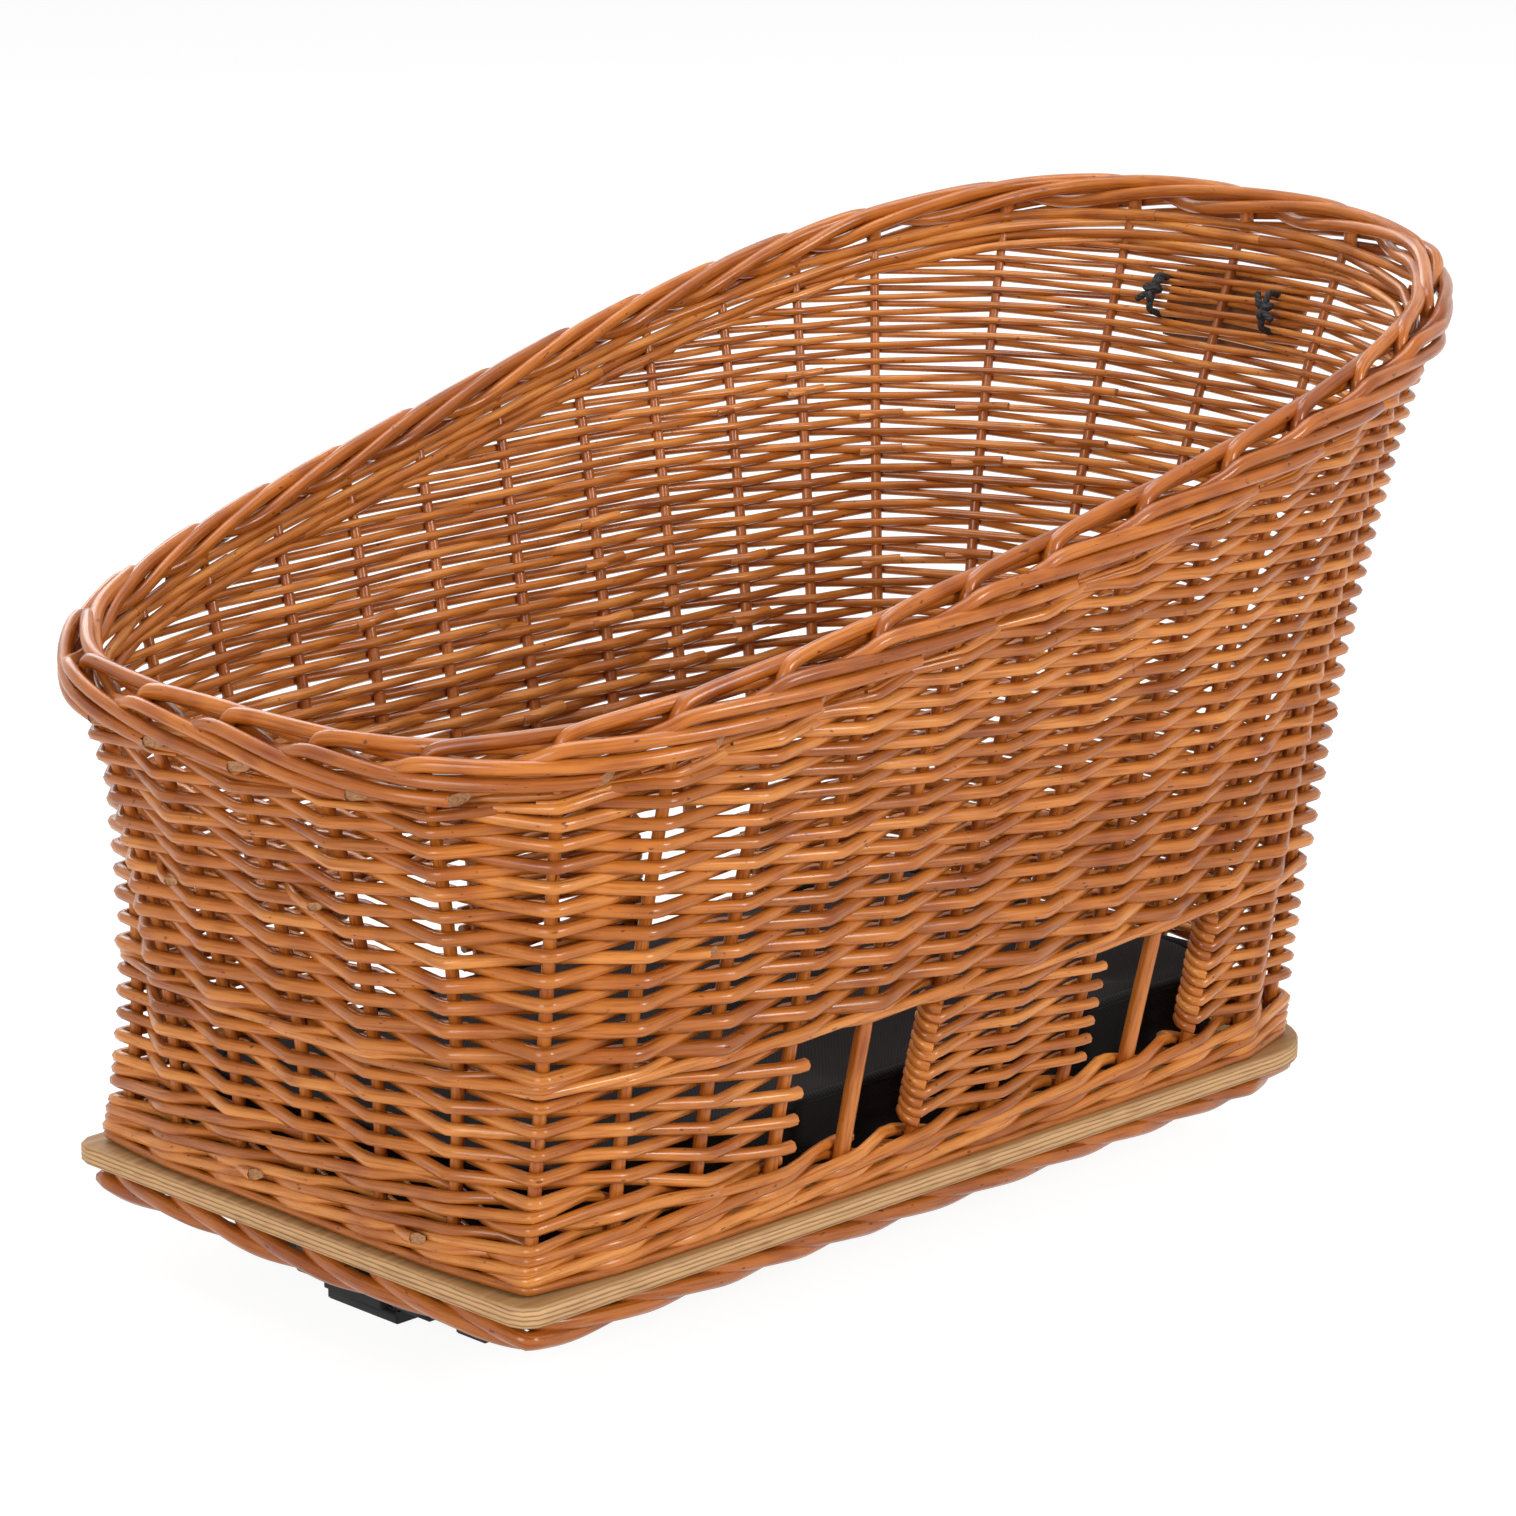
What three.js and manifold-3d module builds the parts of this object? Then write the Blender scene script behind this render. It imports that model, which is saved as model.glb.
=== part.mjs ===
// Wicker bicycle basket for a small dog: a willow wall on a plywood board, flared and rising into a
// hood at one end, with two barred windows a side, a loose cushion and a carrier adapter underneath.
// Millimetres, +Z up, +X to the hood. The origin is on the flat underside of the adapter's keel.
import * as THREE from 'three';
import { mergeVertices } from 'three/addons/utils/BufferGeometryUtils.js';
import Module from 'manifold-3d';

const wasm = await Module();
wasm.setup();

// Fits
const CLEARANCE = 0.3;
const SLIDE_CLEARANCE = 0.4;
const CUT_OVERRUN = 2;

// Plywood board, with its reach from the origin to the low end and to the hood end
const BOARD_FRONT_REACH = 225;
const BOARD_HOOD_REACH = 243;
const BOARD_WIDTH = 270;
const BOARD_THICKNESS = 8;
const BOARD_FRONT_RADIUS = 9;
const BOARD_HOOD_RADIUS = 40;

// Willow rods
const STAKE_DIAMETER = 5.6;
const WEAVER_DIAMETER = 4.3;
const ROD_SIDES = 6;

// Line of the stakes on the board
const STAKE_INSET = 11;
const BASE_FRONT_RADIUS = 12;
const BASE_HOOD_RADIUS = 34;
const STAKES_BEFORE_WINDOWS = 2;
const STAKES_BETWEEN_WINDOWS = 1;
const STAKES_AFTER_WINDOWS = 1;
const STAKES_PER_END = 5;

// Wall bands, heights above the board
const BOTTOM_WALE_HEIGHT = 22;
const WINDOW_HEIGHT = 44;
const MID_WALE_HEIGHT = 14;
const UPPER_STEPS = 3;

// Woven rows of the upper wall: height of the lowest row, the share by which each row is lower than the
// one under it, and how far a face of the wall dips where a row passes on the other side of a stake
const FIRST_ROW_HEIGHT = 4.95;
const ROW_SHRINK = 0.0075;
const ROW_DIP = 3.2;

// Windows: width between edge stakes, and places of their middles
const WINDOW_WIDTH = 78;
const SPACES_PER_WINDOW = 2;
const FRONT_WINDOW_X = -52;
const HOOD_WINDOW_X = 114;

// Line of the rim: its reach from the origin, half widths and heights over the board
const RIM_FRONT_REACH = 249;
const RIM_HOOD_REACH = 332;
const RIM_FRONT_HALF_WIDTH = 161;
const RIM_HOOD_HALF_WIDTH = 208;
const RIM_FRONT_SQUARENESS = 3.7;
const RIM_HOOD_SQUARENESS = 2.8;
const RIM_FRONT_HEIGHT = 198;
const RIM_HOOD_HEIGHT = 328;
const RIM_DISH = 3.8;
const FRONT_WAIST = 11;
const SIDE_WAIST = 5;
const HOOD_WAIST = 9;

// Rolled top border and twisted foot border
const BORDER_WIDTH = 19;
const BORDER_HEIGHT = 25;
const BORDER_SEAT = 1.2;
const BORDER_CHAMFER_SHARE = 0.3;
const FOOT_INSET = 9;
const FOOT_WIDTH = 14;
const FOOT_HEIGHT = 15;

// Cushion
const CUSHION_EDGE_HEIGHT = 36;
const CUSHION_CROWN = 9;
const CUSHION_GAP = 3;
const CUSHION_CORNER_RADIUS = 34;
const CUSHION_DRAW_IN = 4;
const CUSHION_EDGE_ROUND = 9;

// Label on the hood and its two laces
const LABEL_WIDTH = 78;
const LABEL_HEIGHT = 32;
const LABEL_THICKNESS = 2.4;
const LABEL_CORNER_RADIUS = 5;
const LABEL_DROP = 40;
const LABEL_SEAT = 1;
const LACE_WIDTH = 4;
const LACE_SPACING = 64;
const LACE_SPAN = 15;

// Carrier adapter
const ADAPTER_DEPTH = 38;
const ADAPTER_FRONT_X = -189;
const ADAPTER_LENGTH = 340;
const KEEL_WIDTH = 42;
const KEEL_THICKNESS = 6;
const PLATE_WIDTH = 144;
const PLATE_HEIGHT = 18;
const PLATE_ROOF = 6;
const RIB_WIDTH = 80;
const GROOVE_WIDTH = 15;
const SPACER_DIAMETER = 24;
const BOLT_DIAMETER = 6;
const BOLT_HEAD_DIAMETER = 14;
const BOLT_HEAD_HEIGHT = 3;
const BOLT_GRIP = 5;
const BOLT_SPACING_X = 240;
const BOLT_SPACING_Y = 58;

// Release latch in the adapter's front end
const LATCH_WIDTH = 34;
const LATCH_HEIGHT = 8;
const LATCH_LENGTH = 46;
const LATCH_TAB = 5;
const LATCH_TRAVEL = 8;
const LATCH_NOSE_LENGTH = 10;
const LATCH_NOSE_SETBACK = 24;
const LATCH_NOSE_LIFT = 1;
const SPRING_DIAMETER = 5;
const SPRING_SEAT = 12;

// Heights that follow
const BOARD_BOTTOM = ADAPTER_DEPTH;
const BOARD_TOP = BOARD_BOTTOM + BOARD_THICKNESS;
const WALE_TOP = BOARD_TOP + BOTTOM_WALE_HEIGHT;
const WINDOW_TOP = WALE_TOP + WINDOW_HEIGHT;
const MID_WALE_TOP = WINDOW_TOP + MID_WALE_HEIGHT;
const WALL_THICKNESS = STAKE_DIAMETER + 2 * WEAVER_DIAMETER;
const BASE_FRONT_REACH = BOARD_FRONT_REACH - STAKE_INSET;
const BASE_HOOD_REACH = BOARD_HOOD_REACH - STAKE_INSET;
const BASE_HALF_WIDTH = BOARD_WIDTH / 2 - STAKE_INSET;

// Materials
const finish = (color, roughness) => new THREE.MeshStandardMaterial({ color, roughness, metalness: 0 });
const willow = finish(0xc07a3c, 0.45);
const darkWillow = finish(0xa9642c, 0.5);
const plywood = finish(0xb48f5c, 0.7);
const cloth = finish(0x3a3c44, 0.95);
const leather = finish(0x6b4022, 0.6);
const lace = finish(0x15140f, 0.9);
const plastic = finish(0x1a1a1b, 0.55);
const steel = new THREE.MeshStandardMaterial({ color: 0x8c8f92, roughness: 0.4, metalness: 1 });

const basket = new THREE.Group();

function add(name, geometry, material) {
  const mesh = new THREE.Mesh(geometry, material);
  mesh.name = name;
  basket.add(mesh);
}

// Solids for joining and cutting
function toSolid(geometry) {
  const bare = new THREE.BufferGeometry();
  bare.setAttribute('position', geometry.getAttribute('position'));
  if (geometry.index) bare.setIndex(geometry.index);
  const merged = mergeVertices(bare, 1e-4);
  const vertProperties = new Float32Array(merged.getAttribute('position').array);
  const triVerts = new Uint32Array(merged.index.array);
  return new wasm.Manifold(new wasm.Mesh({ numProp: 3, vertProperties, triVerts }));
}

function toGeometry(solid) {
  const { vertProperties, triVerts, numProp } = solid.getMesh();
  const positions = [];
  for (let i = 0; i < vertProperties.length; i += numProp) {
    positions.push(vertProperties[i], vertProperties[i + 1], vertProperties[i + 2]);
  }
  const geometry = new THREE.BufferGeometry();
  geometry.setAttribute('position', new THREE.Float32BufferAttribute(positions, 3));
  geometry.setIndex(Array.from(triVerts));
  return geometry;
}

// A closed skin through rings of points: each ring is joined to the next, and the last to the first
// when the skin closes on itself; otherwise each end is filled as a fan round its middle
function skin(rings, closed) {
  const count = rings[0].length;
  const positions = rings.flat().flatMap((p) => [p.x, p.y, p.z]);
  const index = [];
  const last = closed ? rings.length : rings.length - 1;
  for (let r = 0; r < last; r++) {
    const next = (r + 1) % rings.length;
    for (let i = 0; i < count; i++) {
      const j = (i + 1) % count;
      const [a, b, c, d] = [r * count + i, r * count + j, next * count + j, next * count + i];
      index.push(a, b, c, a, c, d);
    }
  }
  if (!closed) {
    for (const [ring, flip] of [[0, true], [rings.length - 1, false]]) {
      const middle = new THREE.Vector3();
      rings[ring].forEach((p) => middle.addScaledVector(p, 1 / count));
      const hub = positions.length / 3;
      positions.push(middle.x, middle.y, middle.z);
      for (let i = 0; i < count; i++) {
        const [a, b] = [ring * count + i, ring * count + ((i + 1) % count)];
        index.push(hub, flip ? b : a, flip ? a : b);
      }
    }
  }
  const geometry = new THREE.BufferGeometry();
  geometry.setAttribute('position', new THREE.Float32BufferAttribute(positions, 3));
  geometry.setIndex(index);
  return geometry;
}

// Rounded rectangle in plan, with one radius at the front corners and one at the hood corners
function roundedPlan(frontX, hoodX, halfWidth, frontRadius, hoodRadius) {
  const shape = new THREE.Shape();
  const [f, h] = [frontRadius, hoodRadius];
  shape.moveTo(frontX + f, -halfWidth);
  shape.lineTo(hoodX - h, -halfWidth);
  shape.absarc(hoodX - h, -halfWidth + h, h, -Math.PI / 2, 0);
  shape.lineTo(hoodX, halfWidth - h);
  shape.absarc(hoodX - h, halfWidth - h, h, 0, Math.PI / 2);
  shape.lineTo(frontX + f, halfWidth);
  shape.absarc(frontX + f, halfWidth - f, f, Math.PI / 2, Math.PI);
  shape.lineTo(frontX, -halfWidth + f);
  shape.absarc(frontX + f, -halfWidth + f, f, Math.PI, 1.5 * Math.PI);
  return shape;
}

// The stakes' places along the base line, as distances from the start of its right side
const baseLine = roundedPlan(
  -BASE_FRONT_REACH,
  BASE_HOOD_REACH,
  BASE_HALF_WIDTH,
  BASE_FRONT_RADIUS,
  BASE_HOOD_RADIUS,
);
const baseLength = baseLine.getLength();

function basePoint(distance) {
  const share = ((distance / baseLength) % 1 + 1) % 1;
  return baseLine.getPoint(share);
}

function between(start, end, count) {
  return Array.from({ length: count }, (_, i) => start + ((end - start) * (i + 1)) / (count + 1));
}

const frontArc = (Math.PI / 2) * BASE_FRONT_RADIUS;
const hoodArc = (Math.PI / 2) * BASE_HOOD_RADIUS;
const sideRun = BASE_FRONT_REACH + BASE_HOOD_REACH - BASE_FRONT_RADIUS - BASE_HOOD_RADIUS;
const hoodRun = 2 * (BASE_HALF_WIDTH - BASE_HOOD_RADIUS);
const frontRun = 2 * (BASE_HALF_WIDTH - BASE_FRONT_RADIUS);
const rightFrontCorner = -frontArc / 2;
const rightHoodCorner = sideRun + hoodArc / 2;
const leftHoodCorner = sideRun + hoodArc + hoodRun + hoodArc / 2;
const leftFrontCorner = 2 * sideRun + 2 * hoodArc + hoodRun + frontArc / 2;

// Side stakes from the front corner to the hood corner, as distances along the right side
function sideStakes() {
  const along = (x) => x + BASE_FRONT_REACH - BASE_FRONT_RADIUS;
  const edges = [FRONT_WINDOW_X, HOOD_WINDOW_X].map((x) => [
    along(x - WINDOW_WIDTH / 2),
    along(x),
    along(x + WINDOW_WIDTH / 2),
  ]);
  return [
    ...between(rightFrontCorner, edges[0][0], STAKES_BEFORE_WINDOWS),
    ...edges[0],
    ...between(edges[0][2], edges[1][0], STAKES_BETWEEN_WINDOWS),
    ...edges[1],
    ...between(edges[1][2], rightHoodCorner, STAKES_AFTER_WINDOWS),
  ];
}

const side = sideStakes();
const mirrored = side.map((d) => leftHoodCorner + (rightHoodCorner - d)).reverse();
const stakePlaces = [
  rightFrontCorner,
  ...side,
  rightHoodCorner,
  ...between(rightHoodCorner, leftHoodCorner, STAKES_PER_END),
  leftHoodCorner,
  ...mirrored,
  leftFrontCorner,
  ...between(leftFrontCorner, baseLength + rightFrontCorner, STAKES_PER_END),
];
const STAKE_COUNT = stakePlaces.length;

// Rim line, by its angle round the board's middle
function rimPoint(angle) {
  const [c, s] = [Math.cos(angle), Math.sin(angle)];
  const power = c > 0 ? RIM_HOOD_SQUARENESS : RIM_FRONT_SQUARENESS;
  const reach = (Math.abs(c) ** power + Math.abs(s) ** power) ** (-1 / power);
  const x = reach * c * (c > 0 ? RIM_HOOD_REACH : RIM_FRONT_REACH);
  const share = (x + RIM_FRONT_REACH) / (RIM_FRONT_REACH + RIM_HOOD_REACH);
  const halfWidth = THREE.MathUtils.lerp(RIM_FRONT_HALF_WIDTH, RIM_HOOD_HALF_WIDTH, share);
  const straight = THREE.MathUtils.lerp(RIM_FRONT_HEIGHT, RIM_HOOD_HEIGHT, share);
  const height = BOARD_TOP + straight - RIM_DISH * 4 * share * (1 - share);
  return new THREE.Vector3(x, halfWidth * reach * s, height);
}

class RimArc extends THREE.Curve {
  constructor(start, end) {
    super();
    this.start = start;
    this.end = end;
    this.arcLengthDivisions = 400;
  }

  getPoint(t) {
    return rimPoint(this.start + (this.end - this.start) * t);
  }
}

// Four arcs of the rim between its corners, each matched to the same stretch of the base line
const corner = Math.PI / 4;
const stretches = [
  { from: rightFrontCorner, to: rightHoodCorner, rim: new RimArc(-3 * corner, -corner) },
  { from: rightHoodCorner, to: leftHoodCorner, rim: new RimArc(-corner, corner) },
  { from: leftHoodCorner, to: leftFrontCorner, rim: new RimArc(corner, 3 * corner) },
  { from: leftFrontCorner, to: baseLength + rightFrontCorner, rim: new RimArc(3 * corner, 5 * corner) },
];

// A place round the wall: the foot of its centre line on the base, its head on the rim, and its waist
function station(stakeNumber) {
  const whole = Math.floor(stakeNumber);
  const place = (i) => {
    const turns = Math.floor(i / STAKE_COUNT);
    return stakePlaces[i - turns * STAKE_COUNT] + turns * baseLength;
  };
  const distance = THREE.MathUtils.lerp(place(whole), place(whole + 1), stakeNumber - whole);
  const lap = Math.floor((distance - rightFrontCorner) / baseLength);
  const local = distance - lap * baseLength;
  const stretch = stretches.find(({ to }) => local < to) ?? stretches[3];
  const share = (local - stretch.from) / (stretch.to - stretch.from);
  const foot = basePoint(local);
  const head = stretch.rim.getPointAt(THREE.MathUtils.clamp(share, 0, 1));
  const nearFront = THREE.MathUtils.smoothstep(-foot.x, BASE_FRONT_REACH / 2, BASE_FRONT_REACH);
  const nearHood = THREE.MathUtils.smoothstep(foot.x, BASE_HOOD_REACH / 2, BASE_HOOD_REACH);
  const frontWaist = (FRONT_WAIST - SIDE_WAIST) * nearFront;
  const hoodWaist = (HOOD_WAIST - SIDE_WAIST) * nearHood;
  const waist = SIDE_WAIST + frontWaist + hoodWaist;
  const reach = foot.x < 0 ? BASE_FRONT_REACH : BASE_HOOD_REACH;
  const inward = new THREE.Vector2(-foot.x / reach, -foot.y / BASE_HALF_WIDTH);
  const bend = new THREE.Vector2(
    Math.sign(inward.x) * inward.x ** 4,
    Math.sign(inward.y) * inward.y ** 4,
  ).normalize().multiplyScalar(waist);
  return { foot, head, bend };
}

// Centre line heights at a station: board, top of the mid wale, even steps, rim
function nodeHeights({ head }) {
  const steps = between(MID_WALE_TOP, head.z, UPPER_STEPS - 1);
  return [BOARD_TOP, MID_WALE_TOP, ...steps, head.z];
}

function curvedCentre({ foot, head, bend }, z) {
  const share = (z - BOARD_TOP) / (head.z - BOARD_TOP);
  const draw = Math.sin(Math.PI * share);
  return new THREE.Vector3(
    THREE.MathUtils.lerp(foot.x, head.x, share) + bend.x * draw,
    THREE.MathUtils.lerp(foot.y, head.y, share) + bend.y * draw,
    z,
  );
}

// Centre of the wall at a height: straight between the nodes, upright below the board's top
function centre(place, z) {
  if (z <= BOARD_TOP) return new THREE.Vector3(place.foot.x, place.foot.y, z);
  const heights = nodeHeights(place);
  const upper = Math.max(1, heights.findIndex((h) => h >= z - 1e-6));
  const [low, high] = [heights[upper - 1], heights[upper]];
  const start = curvedCentre(place, low);
  return start.lerp(curvedCentre(place, high), (z - low) / (high - low));
}

// Stations round the wall: every stake, and the middles of the spaces at the corners and hood
function stationsRound(from, to) {
  const cornerNumbers = stakePlaces
    .map((d, i) => [d, i])
    .filter(([d]) => [rightFrontCorner, rightHoodCorner, leftHoodCorner, leftFrontCorner].includes(d))
    .map(([, i]) => i);
  const isCurved = (i) => {
    const wrapped = ((i % STAKE_COUNT) + STAKE_COUNT) % STAKE_COUNT;
    const hood = wrapped >= cornerNumbers[1] - 1 && wrapped <= cornerNumbers[2];
    const front = cornerNumbers.some((c) => wrapped === c || wrapped === (c + STAKE_COUNT - 1) % STAKE_COUNT);
    return hood || front;
  };
  const numbers = [from];
  for (let i = Math.floor(from); i < to; i++) {
    if (i > from) numbers.push(i);
    if (isCurved(i) && i + 0.5 > from && i + 0.5 < to) numbers.push(i + 0.5);
  }
  return numbers;
}

// Outward direction of the wall at a station and height, lengthened at a corner to keep the wall's
// thickness through the bend
function outward(numbers, i, closed, heightOf) {
  const pick = (k) => {
    if (closed) return station(numbers[(k + numbers.length) % numbers.length]);
    return station(numbers[THREE.MathUtils.clamp(k, 0, numbers.length - 1)]);
  };
  const here = pick(i);
  const at = (place) => centre(place, heightOf(place));
  const [before, middle, after] = [at(pick(i - 1)), at(here), at(pick(i + 1))];
  const first = new THREE.Vector2(middle.x - before.x, middle.y - before.y);
  const second = new THREE.Vector2(after.x - middle.x, after.y - middle.y);
  if (first.length() < 1e-6) first.copy(second);
  if (second.length() < 1e-6) second.copy(first);
  first.normalize();
  second.normalize();
  const along = first.clone().add(second).normalize();
  const mitre = 1 / Math.max(0.5, along.dot(first));
  return new THREE.Vector3(along.y, -along.x, 0).multiplyScalar(mitre);
}

// A band of the wall between two heights, closed round the basket or ending beside two windows
function band(numbers, closed, low, high) {
  const rings = numbers.map((number, i) => {
    const place = station(number);
    const points = (sign) => [low, high].map((z) => {
      const out = outward(numbers, i, closed, () => z);
      return centre(place, z).addScaledVector(out, (sign * WALL_THICKNESS) / 2);
    });
    return [...points(1).reverse(), ...points(-1)];
  });
  return skin(rings, closed);
}

// Heights of the upper wall's lower edge, the middles of its woven rows and its upper edge
function rowHeights({ head }) {
  const top = head.z - BORDER_HEIGHT / 2 - BORDER_SEAT;
  const heights = [MID_WALE_TOP + CLEARANCE];
  let rowHeight = FIRST_ROW_HEIGHT;
  for (let z = MID_WALE_TOP; z + rowHeight < top; z += rowHeight, rowHeight *= 1 - ROW_SHRINK) {
    heights.push(z + rowHeight / 2);
  }
  return [...heights, top];
}

// A column of points up one face of the upper wall. At a stake the rows stand out and dip in turn;
// the two edges, and columns between stakes, lie halfway
function wovenColumn(numbers, i, side) {
  const place = station(numbers[i]);
  const heights = rowHeights(place);
  return heights.map((z, k) => {
    const isEdge = k === 0 || k === heights.length - 1;
    const swing = isEdge ? 0 : -side * Math.cos(Math.PI * (numbers[i] + k));
    const dip = (ROW_DIP * (1 - swing)) / 2;
    const out = outward(numbers, i, true, (other) => Math.min(z, other.head.z));
    return { point: centre(place, z).addScaledVector(out, side * (WALL_THICKNESS / 2 - dip)), dip };
  });
}

// The upper wall: two woven faces that climb as high as the rim lets each stake's column, joined along
// their lower and upper edges
function wovenWall(numbers) {
  const positions = [];
  const index = [];
  const [outer, inner] = [1, -1].map((side) => numbers.map((_, i) => (
    wovenColumn(numbers, i, side).map(({ point, dip }) => {
      positions.push(point.x, point.y, point.z);
      return { id: positions.length / 3 - 1, dip };
    })
  )));
  const triangle = (side, a, b, c) => index.push(...(side > 0 ? [a.id, b.id, c.id] : [a.id, c.id, b.id]));
  const stitch = (left, right, side) => {
    const shared = Math.min(left.length, right.length) - 2;
    for (let k = 0; k < shared; k++) {
      const [a, b, c, d] = [left[k], right[k], right[k + 1], left[k + 1]];
      const foldAcross = a.dip + c.dip > b.dip + d.dip;
      triangle(side, a, b, foldAcross ? c : d);
      triangle(side, foldAcross ? a : b, c, d);
    }
    const leftIsLow = left.length < right.length;
    const crown = leftIsLow ? left.at(-1) : right.at(-1);
    const rest = leftIsLow ? right : left;
    triangle(side, left[shared], right[shared], crown);
    for (let k = shared; k < rest.length - 1; k++) {
      if (leftIsLow) triangle(side, crown, rest[k], rest[k + 1]);
      else triangle(side, rest[k], crown, rest[k + 1]);
    }
  };
  for (let i = 0; i < numbers.length; i++) {
    const j = (i + 1) % numbers.length;
    stitch(outer[i], outer[j], 1);
    stitch(inner[i], inner[j], -1);
    for (const [end, side] of [[0, -1], [-1, 1]]) {
      const [a, b, c, d] = [outer[i], outer[j], inner[j], inner[i]].map((column) => column.at(end));
      triangle(side, a, b, c);
      triangle(side, a, c, d);
    }
  }
  const geometry = new THREE.BufferGeometry();
  geometry.setAttribute('position', new THREE.Float32BufferAttribute(positions, 3));
  geometry.setIndex(index);
  return geometry;
}

// A border round the basket: an eight-sided section about a line through every station, with a shift
// that moves it out
function border(width, height, lineOf, shift) {
  const numbers = stationsRound(0, STAKE_COUNT);
  const cut = BORDER_CHAMFER_SHARE;
  const section = [
    [0.5, 0.5 - cut], [0.5 - cut, 0.5], [cut - 0.5, 0.5], [-0.5, 0.5 - cut],
    [-0.5, cut - 0.5], [cut - 0.5, -0.5], [0.5 - cut, -0.5], [0.5, cut - 0.5],
  ];
  const rings = numbers.map((number, i) => {
    const place = station(number);
    const middle = lineOf(place);
    const out = outward(numbers, i, true, (other) => lineOf(other).z);
    return section.map(([across, up]) => middle.clone()
      .addScaledVector(out, across * width + shift)
      .add(new THREE.Vector3(0, 0, up * height)));
  });
  return skin(rings.map((ring) => ring.reverse()), true);
}

// A willow rod through points that climb, with level rings
function rod(points, radius) {
  const rings = points.map((p) => Array.from({ length: ROD_SIDES }, (_, i) => {
    const angle = (2 * Math.PI * i) / ROD_SIDES;
    return new THREE.Vector3(p.x + radius * Math.cos(angle), p.y + radius * Math.sin(angle), p.z);
  }));
  return skin(rings, false);
}

function stakePoints(number, lowest, rise) {
  const place = station(number);
  const end = place.head.z + rise;
  const heights = nodeHeights(place).slice(0, -1);
  return [lowest, ...heights, end].map((z) => centre(place, Math.min(z, place.head.z)).setZ(z));
}

// Stakes, and the channels that they leave in everything they pass through
const stakeRadius = STAKE_DIAMETER / 2;
const flatShare = Math.cos(Math.PI / ROD_SIDES);
const channelRadius = (stakeRadius * flatShare + CLEARANCE) / flatShare;
const channelSolids = [];
for (let i = 0; i < STAKE_COUNT; i++) {
  const stake = rod(stakePoints(i, BOARD_BOTTOM, 0), stakeRadius);
  add(`stake_${String(i + 1).padStart(2, '0')}`, stake, darkWillow);
  const channel = stakePoints(i, BOARD_BOTTOM - CUT_OVERRUN, CLEARANCE);
  channelSolids.push(toSolid(rod(channel, channelRadius)));
}
const channels = channelSolids.reduce((all, one) => all.add(one));

function withChannels(geometry) {
  return toGeometry(toSolid(geometry).subtract(channels));
}

// Bolts: a flat head let into the board, and a shank through a spacer into the adapter plate
const plateTop = KEEL_THICKNESS + CLEARANCE + PLATE_HEIGHT;
const boltEnd = plateTop - BOLT_GRIP;
const adapterMiddleX = ADAPTER_FRONT_X + ADAPTER_LENGTH / 2;
const boltPlaces = [-1, 1].flatMap((sx) => [-1, 1].map((sy) => [
  adapterMiddleX + (sx * BOLT_SPACING_X) / 2,
  (sy * BOLT_SPACING_Y) / 2,
]));

function boltGeometry(grow) {
  const head = BOLT_HEAD_DIAMETER / 2 + grow;
  const shank = BOLT_DIAMETER / 2 + grow;
  const top = BOARD_TOP - CLEARANCE + (grow > 0 ? CUT_OVERRUN : 0);
  const underHead = BOARD_TOP - CLEARANCE - BOLT_HEAD_HEIGHT - grow;
  const end = boltEnd - grow;
  const profile = [[0, end], [shank, end], [shank, underHead], [head, underHead], [head, top], [0, top]];
  const lathe = new THREE.LatheGeometry(profile.map(([r, z]) => new THREE.Vector2(r, z)), 12);
  return lathe.rotateX(Math.PI / 2);
}

boltPlaces.forEach(([x, y], i) => {
  add(`bolt_${i + 1}`, boltGeometry(0).translate(x, y, 0), steel);
});
const boltHoles = boltPlaces
  .map(([x, y]) => toSolid(boltGeometry(CLEARANCE).translate(x, y, 0)))
  .reduce((all, one) => all.add(one));

// Board
function boardGeometry() {
  const outline = roundedPlan(
    -BOARD_FRONT_REACH,
    BOARD_HOOD_REACH,
    BOARD_WIDTH / 2,
    BOARD_FRONT_RADIUS,
    BOARD_HOOD_RADIUS,
  );
  const options = { depth: BOARD_THICKNESS, bevelEnabled: false, curveSegments: 6 };
  const slab = new THREE.ExtrudeGeometry(outline, options).translate(0, 0, BOARD_BOTTOM);
  return toGeometry(toSolid(slab).subtract(channels).subtract(boltHoles));
}
add('base_board', boardGeometry(), plywood);

// Borders
const footMiddle = BOARD_BOTTOM - CLEARANCE - FOOT_HEIGHT / 2;
const footLine = ({ foot }) => new THREE.Vector3(foot.x, foot.y, footMiddle);
add('foot_border', border(FOOT_WIDTH, FOOT_HEIGHT, footLine, STAKE_INSET - FOOT_INSET), willow);
add('top_border', withChannels(border(BORDER_WIDTH, BORDER_HEIGHT, ({ head }) => head, 0)), willow);

// Bands round the whole wall
const round = stationsRound(0, STAKE_COUNT);
add('bottom_wale', withChannels(band(round, true, BOARD_TOP + CLEARANCE, WALE_TOP)), willow);
add('mid_wale', withChannels(band(round, true, WINDOW_TOP + CLEARANCE, MID_WALE_TOP)), willow);

// Panels between the windows, each wrapping the stake at the window's edge
const frontEdge = 1 + STAKES_BEFORE_WINDOWS;
const middleStart = frontEdge + SPACES_PER_WINDOW;
const middleEnd = middleStart + STAKES_BETWEEN_WINDOWS + 1;
const hoodStart = middleEnd + SPACES_PER_WINDOW;
const sideCount = side.length;
const mirrorNumber = (number) => 2 * (sideCount + 1) + STAKES_PER_END + 1 - number;
const wrap = STAKE_DIAMETER / 2 + WEAVER_DIAMETER;
const wrapShare = wrap / (WINDOW_WIDTH / 2);

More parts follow.
